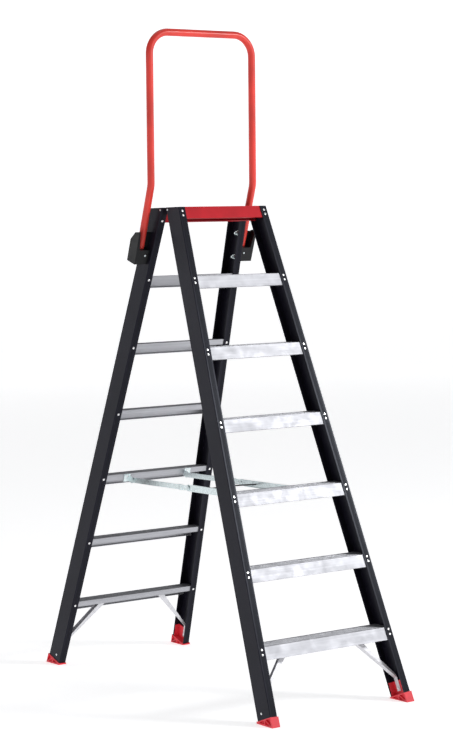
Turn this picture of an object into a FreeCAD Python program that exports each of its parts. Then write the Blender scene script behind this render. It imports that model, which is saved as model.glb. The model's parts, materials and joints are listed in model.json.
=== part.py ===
"""Double-sided step ladder with six treads and a platform step on each side, and a lift-off hoop.

Two ladder frames lean against each other and are hinged under the platform.  Each frame is built
in its own half frame: X across the ladder, Y inwards from the outer flange face and Z up along
the slope, with its origin on the floor.  The front half frame leans back by lean_angle, and the
rear one is the same turned by 180 degrees about the ladder's own vertical axis.  A stile frame is
the half frame tipped by flare_angle at one stile, so that its Z runs along that stile.
The ladder's origin is the floor point midway between its four feet, +Z up, climbed from -Y.
"""
import FreeCAD, Part
import math
import os

import Sketcher

VECTOR = FreeCAD.Vector
DRIVING = {
    "lean_angle": 20.2,          # slope of the stiles in side view, from the vertical
    "flare_angle": 3.47,         # slope of a stile within the plane of its flanges
    "base_half_width": 287.3,    # centre plane to the web's outer face, at the floor
    "base_half_depth": 693,      # centre plane to the outer flange's face, at the floor
    "platform_height": 1640,     # floor to the platform step
    "stile_depth": 73,
    "stile_flange": 26,
    "web_wall": 2.2,
    "flange_wall": 2.6,
    "flute_width": 1.8,
    "flute_depth": 0.7,
    "stile_corner": 1.8,
    "foot_height": 34,           # along the slope, from the floor to the stile's end
    "first_rivet": 246,          # along the slope, from the floor to the lowest tread's rivet
    "tread_pitch": 249.5,
    "top_rivet_drop": 10,        # the platform's rivets sit this far below the regular pitch
    "rivet_inset": 13.5,         # from the web's outer face
    "rivet_spacing": 16,
    "rivet_hole": 2.45,          # radius
    "rivet_shank": 2.4,          # radius
    "rivet_head": 4.1,           # radius
    "rivet_crown": 1.5,
    "rivet_tail": 3.3,           # radius
    "tail_length": 2.4,
    "crown_width": 0.6,          # share of the head's radius that its flat crown takes
    "crown_rim": 0.35,           # share of the crown's height that the rim takes
    "tread_above_rivet": 7.5,
    "tread_front_drop": 42,
    "tread_back_drop": 20,
    "tread_wall": 2,
    "tread_lip": 7,
    "tread_web_place": 32,       # the stiffening web under a tread, from its front wall
    "tread_web_drop": 22,
    "rib_pitch": 5,
    "groove_width": 2.6,
    "groove_depth": 0.8,
    "groove_count": 12,
    "fit_gap": 0.1,              # between pieces that are riveted together
    "end_gap": 1.5,              # tread end to web
    "platform_back_drop": 54,
    "hinge_height": 1612,
    "hinge_half_length": 150,
    "bead_radius": 5,
    "socket_bore": 5.06,         # radius
    "socket_radius": 8.3,
    "arm_wall": 3,
    "mouth_reach": 12,           # the socket's mouth, level from the hinge axis
    "mouth_drop": 7.8,           # its lower edge at that reach, which frees the folded arm
    "mouth_edge": 0.2,
    "hinge_end_play": 0.5,       # the bead is shorter than its socket by this at each end
    "front_arm_root": 3.2,       # the arms run from the knuckle up to the platform's top
    "front_arm_root_up": 6.3,
    "front_arm_head": 9,
    "front_arm_back": 6.6,
    "front_arm_back_up": 4,
    "rear_arm_root": 1.5,
    "rear_arm_root_up": 1,
    "rear_arm_head": 12.5,
    "rear_arm_back": 4.5,
    "rear_arm_head_back": 16,
    "arm_bury": 1,               # an arm's end goes this far into the plate above it
    "plate_reach": 26,           # centre plane back to where the plate joins the channel
    "plate_gap": 0.3,            # centre plane to each platform edge when the ladder stands open
    "end_screw_place": 22,       # centre plane to screw, level with the platform
    "end_screw_drop": 8,
    "screw_radius": 1.75,
    "screw_head": 3.5,           # radius
    "screw_boss": 4.2,           # radius
    "screw_head_height": 1.8,
    "screw_rim": 0.6,
    "screw_length": 14,
    "foot_rim": 4,
    "foot_side_rim": 2.4,
    "foot_recess": 6,
    "foot_window_edge": 3.5,     # the stile's end down to the windows of a foot
    "foot_window_floor": 7,      # the floor corner up to the windows
    "insert_height": 45,
    "insert_wall": 3,
    "insert_setback": 3,         # the stile's flange stands past the insert by this
    "foot_rivet_height": 20,     # above the stile's end
    "brace_width": 17,
    "brace_wall": 1.8,
    "brace_channel": 6,
    "brace_bend_height": 57,     # above the stile's end
    "brace_reach": 145,          # from the web to the brace's upper end
    "brace_top_height": 222,     # above the stile's end
    "brace_tab_drop": 10,        # the foot rivet down to the tab's end
    "brace_wall_start": 2,       # the web wall of the brace to where its side walls begin
    "brace_wall_rise": 1.8,
    "brace_head_rise": 13,       # the side walls' height at the brace's upper end
    "brace_head_reach": 4,
    "brace_head_back": 12,
    "brace_rivet_back": 2,       # the upper rivet, from the brace's upper end
    "brace_rivet_rise": 6,
    "tube_radius": 12.5,
    "tube_wall": 1.8,
    "hoop_half_width": 211.7,
    "hoop_top": 2230,            # to the tube's middle
    "hoop_lean": 1.6,            # of the upper hoop, from the vertical
    "hoop_corner": 74,
    "hoop_bend_height": 1716,    # where the legs turn from the slope to the upright
    "hoop_bend_radius": 70,
    "hoop_depth_place": 32.7,    # tube's middle, from the rear stile's outer flange face
    "hoop_foot": 1602,           # along the slope of the rear frame, lower end of a leg
    "plug_flange": 2.4,
    "socket_top": 1559.5,        # height above the floor
    "socket_bottom": 1450,       # height above the floor
    "socket_near": 13.4,         # from the stile's outer flange face
    "socket_far": 61.4,
    "socket_outer": 245,         # centre plane to the socket's outer face
    "socket_top_chamfer": 22,
    "socket_bottom_rise": 16,
    "socket_gap": 0.1,           # radial, leg in socket
    "window_floor": 1497,        # height above the floor
    "window_top_near": 208,      # from the centre plane
    "window_top_far": 241,
    "window_low_near": 211,
    "window_low_far": 232,
    "window_shallow": 42.5,      # beside the web it is only this deep, to keep the bolts' seats
    "latch_screw_place": 207,    # from the centre plane
    "latch_screw_height": 1479,
    "bolt_radius": 4,
    "bolt_head": 7.5,            # radius of the hexagon's corners
    "bolt_head_height": 6,
    "washer_radius": 8.5,
    "washer_height": 1.5,
    "bolt_upper": 1664.5,        # along the slope
    "bolt_lower": 1576.5,
    "bolt_reach": 11,
    "bolt_end": 6,               # thread that shows past the nut
    "spreader_tread": 3,
    "ear_place": 88,             # spreader pivot, from the outer flange face
    "ear_height": 14,            # above the tread's rivet, along the slope
    "ear_wall": 3,
    "tab_rivet_height": 23,      # above the tread's rivet, along the slope
    "tab_rivet_inset": 12,       # from the ear's face
    "ear_layer": 106,            # centre plane to the front ear's inner face
    "ear_radius": 11,
    "tab_width": 26,
    "tab_wall": 2.5,
    "link_wall": 3,
    "link_gap": 0.5,
    "front_link_height": 23,
    "rear_link_height": 18,
    "link_lip": 5,
    "pin_radius": 3,
    "pin_hole": 3.05,            # radius
    "pin_head": 5.5,             # radius
    "pin_head_height": 1.8,
    "rod_radius": 2.5,
    "rod_back": 90,              # from the links' meeting point to the pull rod
    "rod_bow": 26,
}

doc = FreeCAD.newDocument("step_ladder")
sheet = doc.addObject("Spreadsheet::Sheet", "dims")
for line, (alias, number) in enumerate(DRIVING.items(), start=1):
    sheet.set(f"A{line}", alias)
    sheet.set(f"B{line}", str(number))
    sheet.setAlias(f"B{line}", alias)
doc.recompute()


class Size:
    """A number together with the spreadsheet expression that gives it."""

    def __init__(self, text, value):
        self.text = text
        self.value = value

    def __add__(self, other):
        other = size(other)
        return Size(f"({self.text} + {other.text})", self.value + other.value)

    def __sub__(self, other):
        other = size(other)
        return Size(f"({self.text} - {other.text})", self.value - other.value)

    def __mul__(self, other):
        other = size(other)
        return Size(f"({self.text} * {other.text})", self.value * other.value)

    def __truediv__(self, other):
        other = size(other)
        return Size(f"({self.text} / {other.text})", self.value / other.value)

    def __neg__(self):
        return Size(f"(-1 * {self.text})", -self.value)


def size(number):
    """Return number as a Size: a Size stays itself, and a plain number becomes its own text."""
    return number if isinstance(number, Size) else Size(repr(number), float(number))


class Dims:
    """The spreadsheet's cells, each read as a Size by its alias."""

    def __getattr__(self, alias):
        return Size(f"dims.{alias}", float(DRIVING[alias]))


def trig(function, name, angle):
    """Return sin, cos or tan of an angle in degrees as a Size."""
    return Size(f"{name}({angle.text})", function(math.radians(angle.value)))


d = Dims()
SIN_LEAN = trig(math.sin, "sin", d.lean_angle)
COS_LEAN = trig(math.cos, "cos", d.lean_angle)
TAN_LEAN = trig(math.tan, "tan", d.lean_angle)
SIN_FLARE = trig(math.sin, "sin", d.flare_angle)
COS_FLARE = trig(math.cos, "cos", d.flare_angle)
TAN_FLARE = trig(math.tan, "tan", d.flare_angle)

TREADS = range(1, 7)
FRONT, REAR = "front", "rear"
LEFT, RIGHT = -1, 1
parts = []


# ---------------------------------------------------------------- frames

def turned(axis, degrees, place=(0, 0, 0)):
    return FreeCAD.Placement(VECTOR(*place), FreeCAD.Rotation(VECTOR(*axis), degrees))


def half_frame(end):
    """The placement of one ladder half: leant back, and turned about Z for the rear one."""
    lean = turned((1, 0, 0), -d.lean_angle.value, (0, -d.base_half_depth.value, 0))
    turn = turned((0, 0, 1), 0 if end == FRONT else 180)
    return turn * lean


def stile_frame(end, side):
    """The placement of a stile: its Z runs along the stile, its X inwards on the -X side."""
    tip = turned((0, 1, 0), -side * d.flare_angle.value, (side * d.base_half_width.value, 0, 0))
    return half_frame(end) * tip


def side_name(end, side):
    """The name of a side of one half as seen by someone who faces the ladder's front."""
    return "left" if (side == LEFT) == (end == FRONT) else "right"


def web_place(slope):
    """Distance from the centre plane to the web's outer face at a slope distance."""
    return d.base_half_width - slope * TAN_FLARE


def tread_rivet(level):
    """Slope distance of the upper rivet of tread number level, counted from the floor."""
    return d.first_rivet + d.tread_pitch * (level - 1)


PLATFORM_SLOPE = d.platform_height / COS_LEAN
PLATFORM_RIVET = tread_rivet(7) - d.top_rivet_drop
FLOOR_TO_STILE = d.foot_height
INNER_DEPTH = d.stile_depth - d.flange_wall * 2 - d.fit_gap * 2
BRACE_PLACE = (d.flange_wall + d.tread_web_place + d.tread_wall + d.fit_gap * 2
               + d.brace_width / 2)


# ---------------------------------------------------------------- modelling helpers

def new_body(label, placement):
    body = doc.addObject("PartDesign::Body", label)
    body.Label = label
    body.Placement = placement
    return body


def keep(thing):
    """Mark an object as a finished sub-part."""
    parts.append(thing)
    return thing


def plane(body, role):
    return next(item for item in body.Origin.OriginFeatures if item.Role == role)


def new_sketch(body, name, role, offset=None):
    sketch = body.newObject("Sketcher::SketchObject", f"{body.Label}_{name}")
    sketch.AttachmentSupport = (plane(body, role), [""])
    sketch.MapMode = "FlatFace"
    if offset is not None:
        sketch.AttachmentOffset = offset
    return sketch


def bind_point(sketch, geometry, point, place):
    """Hold one point of the sketch at a pair of sizes measured from the sketch's origin."""
    for kind, axis, value in (("DistanceX", -2, place[0]), ("DistanceY", -1, place[1])):
        if abs(value.value) < 1e-9:
            sketch.addConstraint(Sketcher.Constraint("PointOnObject", geometry, point, axis))
            continue
        index = sketch.addConstraint(
            Sketcher.Constraint(kind, -1, 1, geometry, point, value.value))
        sketch.setExpression(f"Constraints[{index}]", value.text)


def polygon(sketch, corners):
    """Add a closed polygon whose corners are pairs of sizes or numbers."""
    corners = [(size(x), size(y)) for x, y in corners]
    first = sketch.GeometryCount
    count = len(corners)
    for index, (start, end) in enumerate(zip(corners, corners[1:] + corners[:1])):
        ends = [VECTOR(x.value, y.value, 0) for x, y in (start, end)]
        sketch.addGeometry(Part.LineSegment(*ends), False)
    for index, corner in enumerate(corners):
        line, after = first + index, first + (index + 1) % count
        sketch.addConstraint(Sketcher.Constraint("Coincident", line, 2, after, 1))
        bind_point(sketch, line, 1, corner)


def circle(sketch, x, y, radius):
    """Add a circle with its centre and radius bound to sizes."""
    x, y, radius = size(x), size(y), size(radius)
    centre = VECTOR(x.value, y.value, 0)
    index = sketch.addGeometry(Part.Circle(centre, VECTOR(0, 0, 1), radius.value), False)
    bind_point(sketch, index, 3, (x, y))
    bound = sketch.addConstraint(Sketcher.Constraint("Radius", index, radius.value))
    sketch.setExpression(f"Constraints[{bound}]", radius.text)


def pad(body, sketch, length, midplane=True):
    feature = body.newObject("PartDesign::Pad", f"{sketch.Label}_pad")
    feature.Profile = sketch
    feature.Midplane = midplane
    feature.setExpression("Length", size(length).text)
    return feature


def pocket(body, sketch, length=None, midplane=True, upwards=False):
    """Cut the sketch through the body; without a length it cuts all the way to one side."""
    doc.recompute()
    before = body.Shape.Volume
    feature = body.newObject("PartDesign::Pocket", f"{sketch.Label}_pocket")
    feature.Profile = sketch
    feature.Reversed = upwards
    if length is None:
        feature.Type = "ThroughAll"
    else:
        feature.Midplane = midplane
        feature.setExpression("Length", size(length).text)
    doc.recompute()
    if body.Shape.Volume >= before - 0.01:
        raise RuntimeError(f"{sketch.Label} cuts nothing")
    return feature


def linear_pattern(body, feature, direction, length, count):
    pattern = body.newObject("PartDesign::LinearPattern", f"{feature.Label}_pattern")
    pattern.Originals = [feature]
    pattern.Direction = direction
    pattern.setExpression("Length", size(length).text)
    pattern.setExpression("Occurrences", size(count).text)
    body.Tip = pattern
    return pattern


def level_cut(body, placement, height, keep_below):
    """Trim a body at a horizontal plane of the ladder, keeping what lies below or above it."""
    level = FreeCAD.Placement(VECTOR(placement.Base.x, placement.Base.y, height.value),
                              FreeCAD.Rotation())
    offset = placement.inverse() * level
    sketch = new_sketch(body, "level", "XY_Plane", offset)
    reach = 900
    polygon(sketch, [(-reach, -reach), (reach, -reach), (reach, reach), (-reach, reach)])
    return pocket(body, sketch, upwards=keep_below)


def hole_sketch(body, name, role, offset, places, radius):
    sketch = new_sketch(body, name, role, offset)
    for x, y in places:
        circle(sketch, x, y, radius)
    return sketch


def revolved(label, outline):
    """A solid of revolution about its own Z, from an outline in the XZ plane."""
    body = new_body(label, FreeCAD.Placement())
    sketch = new_sketch(body, "outline", "XZ_Plane")
    polygon(sketch, outline)
    turn = body.newObject("PartDesign::Revolution", f"{label}_turn")
    turn.Profile = sketch
    turn.ReferenceAxis = (sketch, ["V_Axis"])
    turn.Angle = 360
    doc.recompute()
    return body


def rivet_master(label, grip):
    """A blind rivet: crowned head below Z 0, shank through the grip, and its set tail above."""
    shank, tail, head = d.rivet_shank, d.rivet_tail, d.rivet_head
    return revolved(label, [
        (0, -d.rivet_crown), (head * d.crown_width, -d.rivet_crown),
        (head, -d.rivet_crown * d.crown_rim),
        (head, 0), (shank, 0), (shank, grip), (tail, grip),
        (tail, grip + d.tail_length), (0, grip + d.tail_length)])


def fastener_group(label, master, placements):
    """Identical fasteners as one sub-part of separate solids."""
    group = doc.addObject("Part::Feature", label)
    copies = []
    for placement in placements:
        copy = master.Shape.copy()
        copy.Placement = placement
        copies.append(copy)
    group.Shape = Part.makeCompound(copies)
    group.Label = label
    return keep(group)


def facing(frame, place, direction):
    """A placement in a frame whose Z points along a direction of that frame."""
    rotation = FreeCAD.Rotation(VECTOR(0, 0, 1), VECTOR(*direction))
    return frame * FreeCAD.Placement(VECTOR(*[size(item).value for item in place]), rotation)


# ---------------------------------------------------------------- stiles

def stile_outline(side):
    """The C profile, web outwards: corners in the stile frame, X towards the centre plane."""
    flange, depth, web, wall = d.stile_flange, d.stile_depth, d.web_wall, d.flange_wall
    corners = [(size(0), size(0))]
    for middle in (d.rivet_inset - 5.9, d.rivet_inset + 5.9):
        near, far = middle - d.flute_width / 2, middle + d.flute_width / 2
        corners += [(near, size(0)), (near, d.flute_depth), (far, d.flute_depth), (far, size(0))]
    corners += [(flange, size(0)), (flange, wall), (web, wall), (web, depth - wall),
                (flange, depth - wall), (flange, depth), (size(0), depth)]
    return [(x * -side, y) for x, y in corners]


def round_corners(body, radius):
    """Round the two long outer corners where the web meets its flanges."""
    names = []
    for index, edge in enumerate(body.Shape.Edges, start=1):
        ends = [body.Placement.inverse() * vertex.Point for vertex in edge.Vertexes]
        on_web = all(abs(point.x) < 1e-3 for point in ends)
        on_corner = all(min(abs(point.y), abs(point.y - d.stile_depth.value)) < 1e-3
                        for point in ends)
        if on_web and on_corner and edge.Length > d.stile_depth.value * 2:
            names.append(f"Edge{index}")
    base = body.Tip
    fillet = body.newObject("PartDesign::Fillet", f"{body.Label}_corners")
    fillet.Base = (base, names)
    fillet.setExpression("Radius", radius.text)
    return fillet


def build_stile(end, side):
    label = f"{end}_stile_{side_name(end, side)}"
    frame = stile_frame(end, side)
    start = frame * FreeCAD.Placement(VECTOR(0, 0, FLOOR_TO_STILE.value), FreeCAD.Rotation())
    body = new_body(label, start)
    profile = new_sketch(body, "profile", "XY_Plane")
    polygon(profile, stile_outline(side))
    length = PLATFORM_SLOPE / COS_FLARE + d.stile_depth * TAN_LEAN - FLOOR_TO_STILE
    pad(body, profile, length, midplane=False)
    doc.recompute()
    round_corners(body, d.stile_corner)
    level_cut(body, start, d.platform_height, keep_below=True)

    across = d.rivet_inset * -side
    to_stile = (d.rivet_inset * SIN_FLARE - FLOOR_TO_STILE * COS_FLARE) / COS_FLARE
    first = tread_rivet(1) / COS_FLARE + to_stile
    top = PLATFORM_RIVET / COS_FLARE + to_stile
    spacing = d.rivet_spacing / COS_FLARE
    run = (d.tread_pitch / COS_FLARE) * (len(TREADS) - 1)
    outer = hole_sketch(body, "outer_holes", "XZ_Plane", None,
                        [(across, first), (across, first - spacing)], d.rivet_hole)
    outer_cut = pocket(body, outer, d.flange_wall * 3)
    linear_pattern(body, outer_cut, (plane(body, "Z_Axis"), [""]), run, len(TREADS))
    top_holes = hole_sketch(body, "top_holes", "XZ_Plane", None,
                            [(across, top), (across, top - spacing)], d.rivet_hole)
    pocket(body, top_holes, d.flange_wall * 3)

    inner_plane = FreeCAD.Placement(VECTOR(0, 0, -d.stile_depth.value), FreeCAD.Rotation())
    lift = back_rivet_rise(d.tread_back_drop) / COS_FLARE
    inner = hole_sketch(body, "inner_holes", "XZ_Plane", inner_plane,
                        [(across, first + lift)], d.rivet_hole)
    inner_cut = pocket(body, inner, d.flange_wall * 3)
    linear_pattern(body, inner_cut, (plane(body, "Z_Axis"), [""]), run, len(TREADS))
    top_lift = back_rivet_rise(d.platform_back_drop, platform=True) / COS_FLARE
    top_inner = hole_sketch(body, "top_inner_holes", "XZ_Plane", inner_plane,
                            [(across, top + top_lift)], d.rivet_hole)
    pocket(body, top_inner, d.flange_wall * 3)

    web = new_sketch(body, "web_holes", "YZ_Plane")
    circle(web, BRACE_PLACE, d.foot_rivet_height, d.rivet_hole)
    screw_y, screw_z = end_screw_place()
    circle(web, screw_y, screw_z / COS_FLARE - FLOOR_TO_STILE, d.rivet_hole)
    if end == REAR:
        for slope in bolt_slopes():
            circle(web, d.stile_depth / 2, slope / COS_FLARE - FLOOR_TO_STILE,
                   d.bolt_radius + 0.05)
    pocket(body, web, d.web_wall * 3)
    return keep(body)


def back_rivet_rise(back_drop, platform=False):
    """Slope distance from a tread's upper front rivet up to the rivet of its back wall."""
    rise = platform_above_rivet() if platform else d.tread_above_rivet
    return rise + (INNER_DEPTH * TAN_LEAN) - back_drop + d.tread_lip


def platform_above_rivet():
    """Slope distance from the platform's upper rivet to its top edge, at its front wall."""
    front_face = d.flange_wall + d.fit_gap
    return PLATFORM_SLOPE + front_face * TAN_LEAN - PLATFORM_RIVET


def end_screw_place():
    """The end screw's place on the web: depth and slope distance in the half frame."""
    across = d.base_half_depth - d.end_screw_place
    height = d.platform_height - d.end_screw_drop
    depth = across * COS_LEAN - height * SIN_LEAN
    slope = across * SIN_LEAN + height * COS_LEAN
    return depth, slope


def bolt_slopes():
    """Slope distances of the two bolts that hold a hoop bracket."""
    return [d.bolt_upper, d.bolt_lower]


# ---------------------------------------------------------------- treads and platform

def tread_outline(front_drop, back_drop):
    """A channel open below, standing on its front wall's lower edge, with its top level."""
    wall, lip, depth = d.tread_wall, d.tread_lip, INNER_DEPTH
    back_top = front_drop + depth * TAN_LEAN
    under = wall / COS_LEAN
    return [
        (0, 0), (0, front_drop), (depth, back_top), (depth, back_top - back_drop),
        (depth - lip, back_top - back_drop), (depth - lip, back_top - back_drop + wall),
        (depth - wall, back_top - back_drop + wall),
        (depth - wall, back_top - wall * TAN_LEAN - under),
        (wall, front_drop + wall * TAN_LEAN - under), (wall, wall), (lip, wall), (lip, 0)]


def cut_tread_grooves(body, front_drop):
    """Cut the anti-slip grooves that run the length of the top face."""
    sketch = new_sketch(body, "groove", "YZ_Plane")
    near = d.rib_pitch * 0.9
    corners = []
    for across, down in ((near, 0.6), (near + d.groove_width * COS_LEAN, 0.6),
                         (near + d.groove_width * COS_LEAN, -d.groove_depth),
                         (near, -d.groove_depth)):
        across = size(across)
        corners.append((across, front_drop + across * TAN_LEAN + down))
    polygon(sketch, corners)
    start = VECTOR(0, front_drop.value, 0)
    end = start + VECTOR(COS_LEAN.value, SIN_LEAN.value, 0) * d.rib_pitch.value
    guide = sketch.addGeometry(Part.LineSegment(start, end), True)
    bind_point(sketch, guide, 1, (size(0), front_drop))
    bind_point(sketch, guide, 2, (d.rib_pitch * COS_LEAN, front_drop + d.rib_pitch * SIN_LEAN))
    cut = pocket(body, sketch, d.base_half_width * 2)
    run = d.rib_pitch * (d.groove_count - 1)
    return linear_pattern(body, cut, (sketch, ["Axis0"]), run, d.groove_count)


def cut_tread_holes(body, front_drop, back_drop, above_rivet, rivet_slope):
    """Drill the two front rivet holes and the back one at each end."""
    level = front_drop - above_rivet
    lift = above_rivet + INNER_DEPTH * TAN_LEAN - back_drop + d.tread_lip
    front, back = [], []
    for side in (LEFT, RIGHT):
        for drop in (size(0), d.rivet_spacing):
            front.append((rivet_across(rivet_slope - drop) * side, level - drop))
        back.append((rivet_across(rivet_slope + lift) * side, level + lift))
    sketch = hole_sketch(body, "front_holes", "XZ_Plane", None, front, d.rivet_hole)
    pocket(body, sketch, d.tread_wall * 3)
    offset = FreeCAD.Placement(VECTOR(0, 0, -INNER_DEPTH.value), FreeCAD.Rotation())
    sketch = hole_sketch(body, "back_holes", "XZ_Plane", offset, back, d.rivet_hole)
    pocket(body, sketch, d.tread_wall * 3)


def rivet_across(slope):
    """Distance of a flange rivet from the centre plane, at its slope distance."""
    return web_place(slope) - d.rivet_inset / COS_FLARE


def tread_half_length(top_slope):
    return web_place(top_slope) - d.web_wall / COS_FLARE - d.end_gap


def build_tread(end, level):
    label = f"{end}_tread_{level}"
    rivet = tread_rivet(level)
    foot_of_wall = rivet + d.tread_above_rivet - d.tread_front_drop
    base = FreeCAD.Placement(
        VECTOR(0, (d.flange_wall + d.fit_gap).value, foot_of_wall.value), FreeCAD.Rotation())
    body = new_body(label, half_frame(end) * base)
    section = new_sketch(body, "section", "YZ_Plane")
    polygon(section, tread_outline(d.tread_front_drop, d.tread_back_drop))
    back_top = rivet + d.tread_above_rivet + INNER_DEPTH * TAN_LEAN
    length = tread_half_length(back_top) * 2
    pad(body, section, length)
    web = new_sketch(body, "web", "YZ_Plane")
    near = d.tread_web_place
    far = near + d.tread_wall
    under = d.tread_wall / COS_LEAN
    polygon(web, [
        (near, d.tread_front_drop + near * TAN_LEAN - under * 0.5),
        (near, d.tread_front_drop + near * TAN_LEAN - d.tread_web_drop),
        (far, d.tread_front_drop + near * TAN_LEAN - d.tread_web_drop),
        (far, d.tread_front_drop + far * TAN_LEAN - under * 0.5)])
    pad(body, web, length)
    cut_tread_grooves(body, d.tread_front_drop)
    cut_tread_holes(body, d.tread_front_drop, d.tread_back_drop, d.tread_above_rivet, rivet)
    if level == 1:
        brace_x, brace_z = brace_rivet_place()
        places = [(brace_x * side, brace_z - foot_of_wall) for side in (LEFT, RIGHT)]
        offset = FreeCAD.Placement(VECTOR(0, 0, -(near + d.tread_wall / 2).value),
                                   FreeCAD.Rotation())
        sketch = hole_sketch(body, "brace_holes", "XZ_Plane", offset, places, d.rivet_hole)
        pocket(body, sketch, d.tread_wall * 3)
    if level == int(d.spreader_tread.value):
        place = d.tab_rivet_height - d.tread_above_rivet + d.tread_front_drop
        places = [(tab_rivet_across(end) * side, place) for side in (LEFT, RIGHT)]
        offset = FreeCAD.Placement(VECTOR(0, 0, -INNER_DEPTH.value), FreeCAD.Rotation())
        sketch = hole_sketch(body, "ear_holes", "XZ_Plane", offset, places, d.rivet_hole)
        pocket(body, sketch, d.tread_wall * 3)
    return keep(body)


def hinge_place():
    """The hinge axis in a platform body's own section: depth and height."""
    along = d.base_half_depth
    depth = along * COS_LEAN - d.hinge_height * SIN_LEAN
    slope = along * SIN_LEAN + d.hinge_height * COS_LEAN
    return depth - d.flange_wall - d.fit_gap, slope - platform_foot()


def platform_foot():
    """Slope distance of the lower edge of the platform's front wall."""
    return PLATFORM_RIVET + platform_above_rivet() - d.tread_front_drop


def from_hinge(inwards, up):
    """A point given level and upright from the hinge axis, in a platform body's section."""
    inwards, up = size(inwards), size(up)
    centre_depth, centre_height = hinge_place()
    return (centre_depth + inwards * COS_LEAN - up * SIN_LEAN,
            centre_height + inwards * SIN_LEAN + up * COS_LEAN)


def build_platform(end):
    """One half of the platform step, with its half of the full-width hinge."""
    label = f"{end}_platform_step"
    base = FreeCAD.Placement(
        VECTOR(0, (d.flange_wall + d.fit_gap).value, platform_foot().value), FreeCAD.Rotation())
    body = new_body(label, half_frame(end) * base)
    centre = hinge_place()
    hinge_length = d.hinge_half_length * 2
    if end == REAR:
        hinge_length -= d.hinge_end_play * 2
    rise = d.platform_height - d.hinge_height
    ring = new_sketch(body, "knuckle", "YZ_Plane")
    if end == FRONT:
        circle(ring, *centre, d.socket_radius)
        circle(ring, *centre, d.socket_bore)
        pad(body, ring, hinge_length)
        mouth = new_sketch(body, "mouth", "YZ_Plane")
        out = d.mouth_reach
        polygon(mouth, [centre, from_hinge(out, -d.mouth_drop), from_hinge(out, out),
                        from_hinge(-d.mouth_edge, out)])
        pocket(body, mouth, hinge_length * 2)
        root, head = (-d.front_arm_root, d.front_arm_root_up), -d.front_arm_head
        back, head_back = (-d.front_arm_back, d.front_arm_back_up), head - d.arm_wall * 1.13
    else:
        circle(ring, *centre, d.bead_radius)
        pad(body, ring, hinge_length)
        root, head = (-d.rear_arm_root, d.rear_arm_root_up), -d.rear_arm_head
        back, head_back = (-d.rear_arm_back, 0), -d.rear_arm_head_back
    arm = new_sketch(body, "arm", "YZ_Plane")
    arm_top = rise - d.arm_bury
    polygon(arm, [from_hinge(*root), from_hinge(head, arm_top), from_hinge(head_back, arm_top),
                  from_hinge(*back)])
    pad(body, arm, hinge_length)
    plate = new_sketch(body, "plate", "YZ_Plane")
    reach = -d.plate_reach
    polygon(plate, [from_hinge(-d.plate_gap, rise), from_hinge(-d.plate_gap, rise - d.tread_wall),
                    from_hinge(reach, rise - d.tread_wall), from_hinge(reach, rise)])
    pad(body, plate, hinge_length)
    section = new_sketch(body, "section", "YZ_Plane")
    polygon(section, tread_outline(d.tread_front_drop, d.platform_back_drop))
    pad(body, section, tread_half_length(PLATFORM_SLOPE + INNER_DEPTH * TAN_LEAN) * 2)
    boss = new_sketch(body, "screw_boss", "YZ_Plane")
    port = from_hinge(-d.end_screw_place, rise - d.end_screw_drop)
    circle(boss, *port, d.screw_boss)
    pad(body, boss, tread_half_length(PLATFORM_SLOPE + INNER_DEPTH * TAN_LEAN) * 2)
    drill = new_sketch(body, "screw_port", "YZ_Plane")
    circle(drill, *port, d.screw_radius + 0.05)
    pocket(body, drill, d.base_half_width * 2)
    cut_tread_grooves(body, d.tread_front_drop)
    cut_tread_holes(body, d.tread_front_drop, d.platform_back_drop, platform_above_rivet(),
                    PLATFORM_RIVET)
    return keep(body)


# ---------------------------------------------------------------- feet and braces

def foot_windows(top, low):
    """Outlines of the windows between a foot's ribs, from their top edge and their lowest one."""
    slant = low + d.foot_height * TAN_LEAN
    return [
        [(1, top), (25, top), (1, low)],
        [(5, low), (31, low + 9.5), (29, top - 1.5)],
        [(35.5, slant - 1), (60, top - 3), (60, top), (35.5, top)]]


def build_foot(end, side):
    label = f"{end}_foot_{side_name(end, side)}"
    frame = stile_frame(end, side)
    start = frame * FreeCAD.Placement(VECTOR(0, 0, FLOOR_TO_STILE.value), FreeCAD.Rotation())
    body = new_body(label, start)
    rim, depth, flange = d.foot_rim, d.stile_depth, d.stile_flange
    outer, inner = -d.foot_side_rim, flange + d.foot_side_rim
    block = new_sketch(body, "block", "XY_Plane")
    polygon(block, [(outer * -side, -rim), (inner * -side, -rim), (inner * -side, depth + rim),
                    (outer * -side, depth + rim)])
    block_pad = pad(body, block, d.foot_height * 2, midplane=False)
    block_pad.Reversed = True
    level_cut(body, start, size(0), keep_below=False)
    top, low = -d.foot_window_edge, d.foot_window_floor - d.foot_height
    for name, face in (("outer", outer), ("inner", inner)):
        offset = FreeCAD.Placement(VECTOR(0, 0, (face * -side).value), FreeCAD.Rotation())
        sketch = new_sketch(body, f"{name}_recess", "YZ_Plane", offset)
        for window in foot_windows(top, low):
            polygon(sketch, window)
        pocket(body, sketch, d.foot_recess * 2)
    near = d.web_wall + d.fit_gap
    low, high = d.flange_wall + d.fit_gap, depth - d.flange_wall - d.fit_gap
    far, wall = flange - d.insert_setback, d.insert_wall
    insert = new_sketch(body, "insert", "XY_Plane")
    outline = [(near, low), (far, low), (far, low + wall), (near + wall, low + wall),
               (near + wall, high - wall), (far, high - wall), (far, high), (near, high)]
    polygon(insert, [(size(x) * -side, y) for x, y in outline])
    pad(body, insert, d.insert_height, midplane=False)
    web = new_sketch(body, "web_hole", "YZ_Plane",
                     FreeCAD.Placement(VECTOR(0, 0, ((near + wall / 2) * -side).value),
                                       FreeCAD.Rotation()))
    circle(web, BRACE_PLACE, d.foot_rivet_height, d.rivet_hole)
    pocket(body, web, wall * 3)
    return keep(body)


def brace_line():
    """The brace's bend and top end in the stile frame, from the stile's end: X and Z pairs."""
    near = d.web_wall + d.fit_gap + d.insert_wall + d.fit_gap
    return (near, d.brace_bend_height), (near + d.brace_reach, d.brace_top_height)


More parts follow.
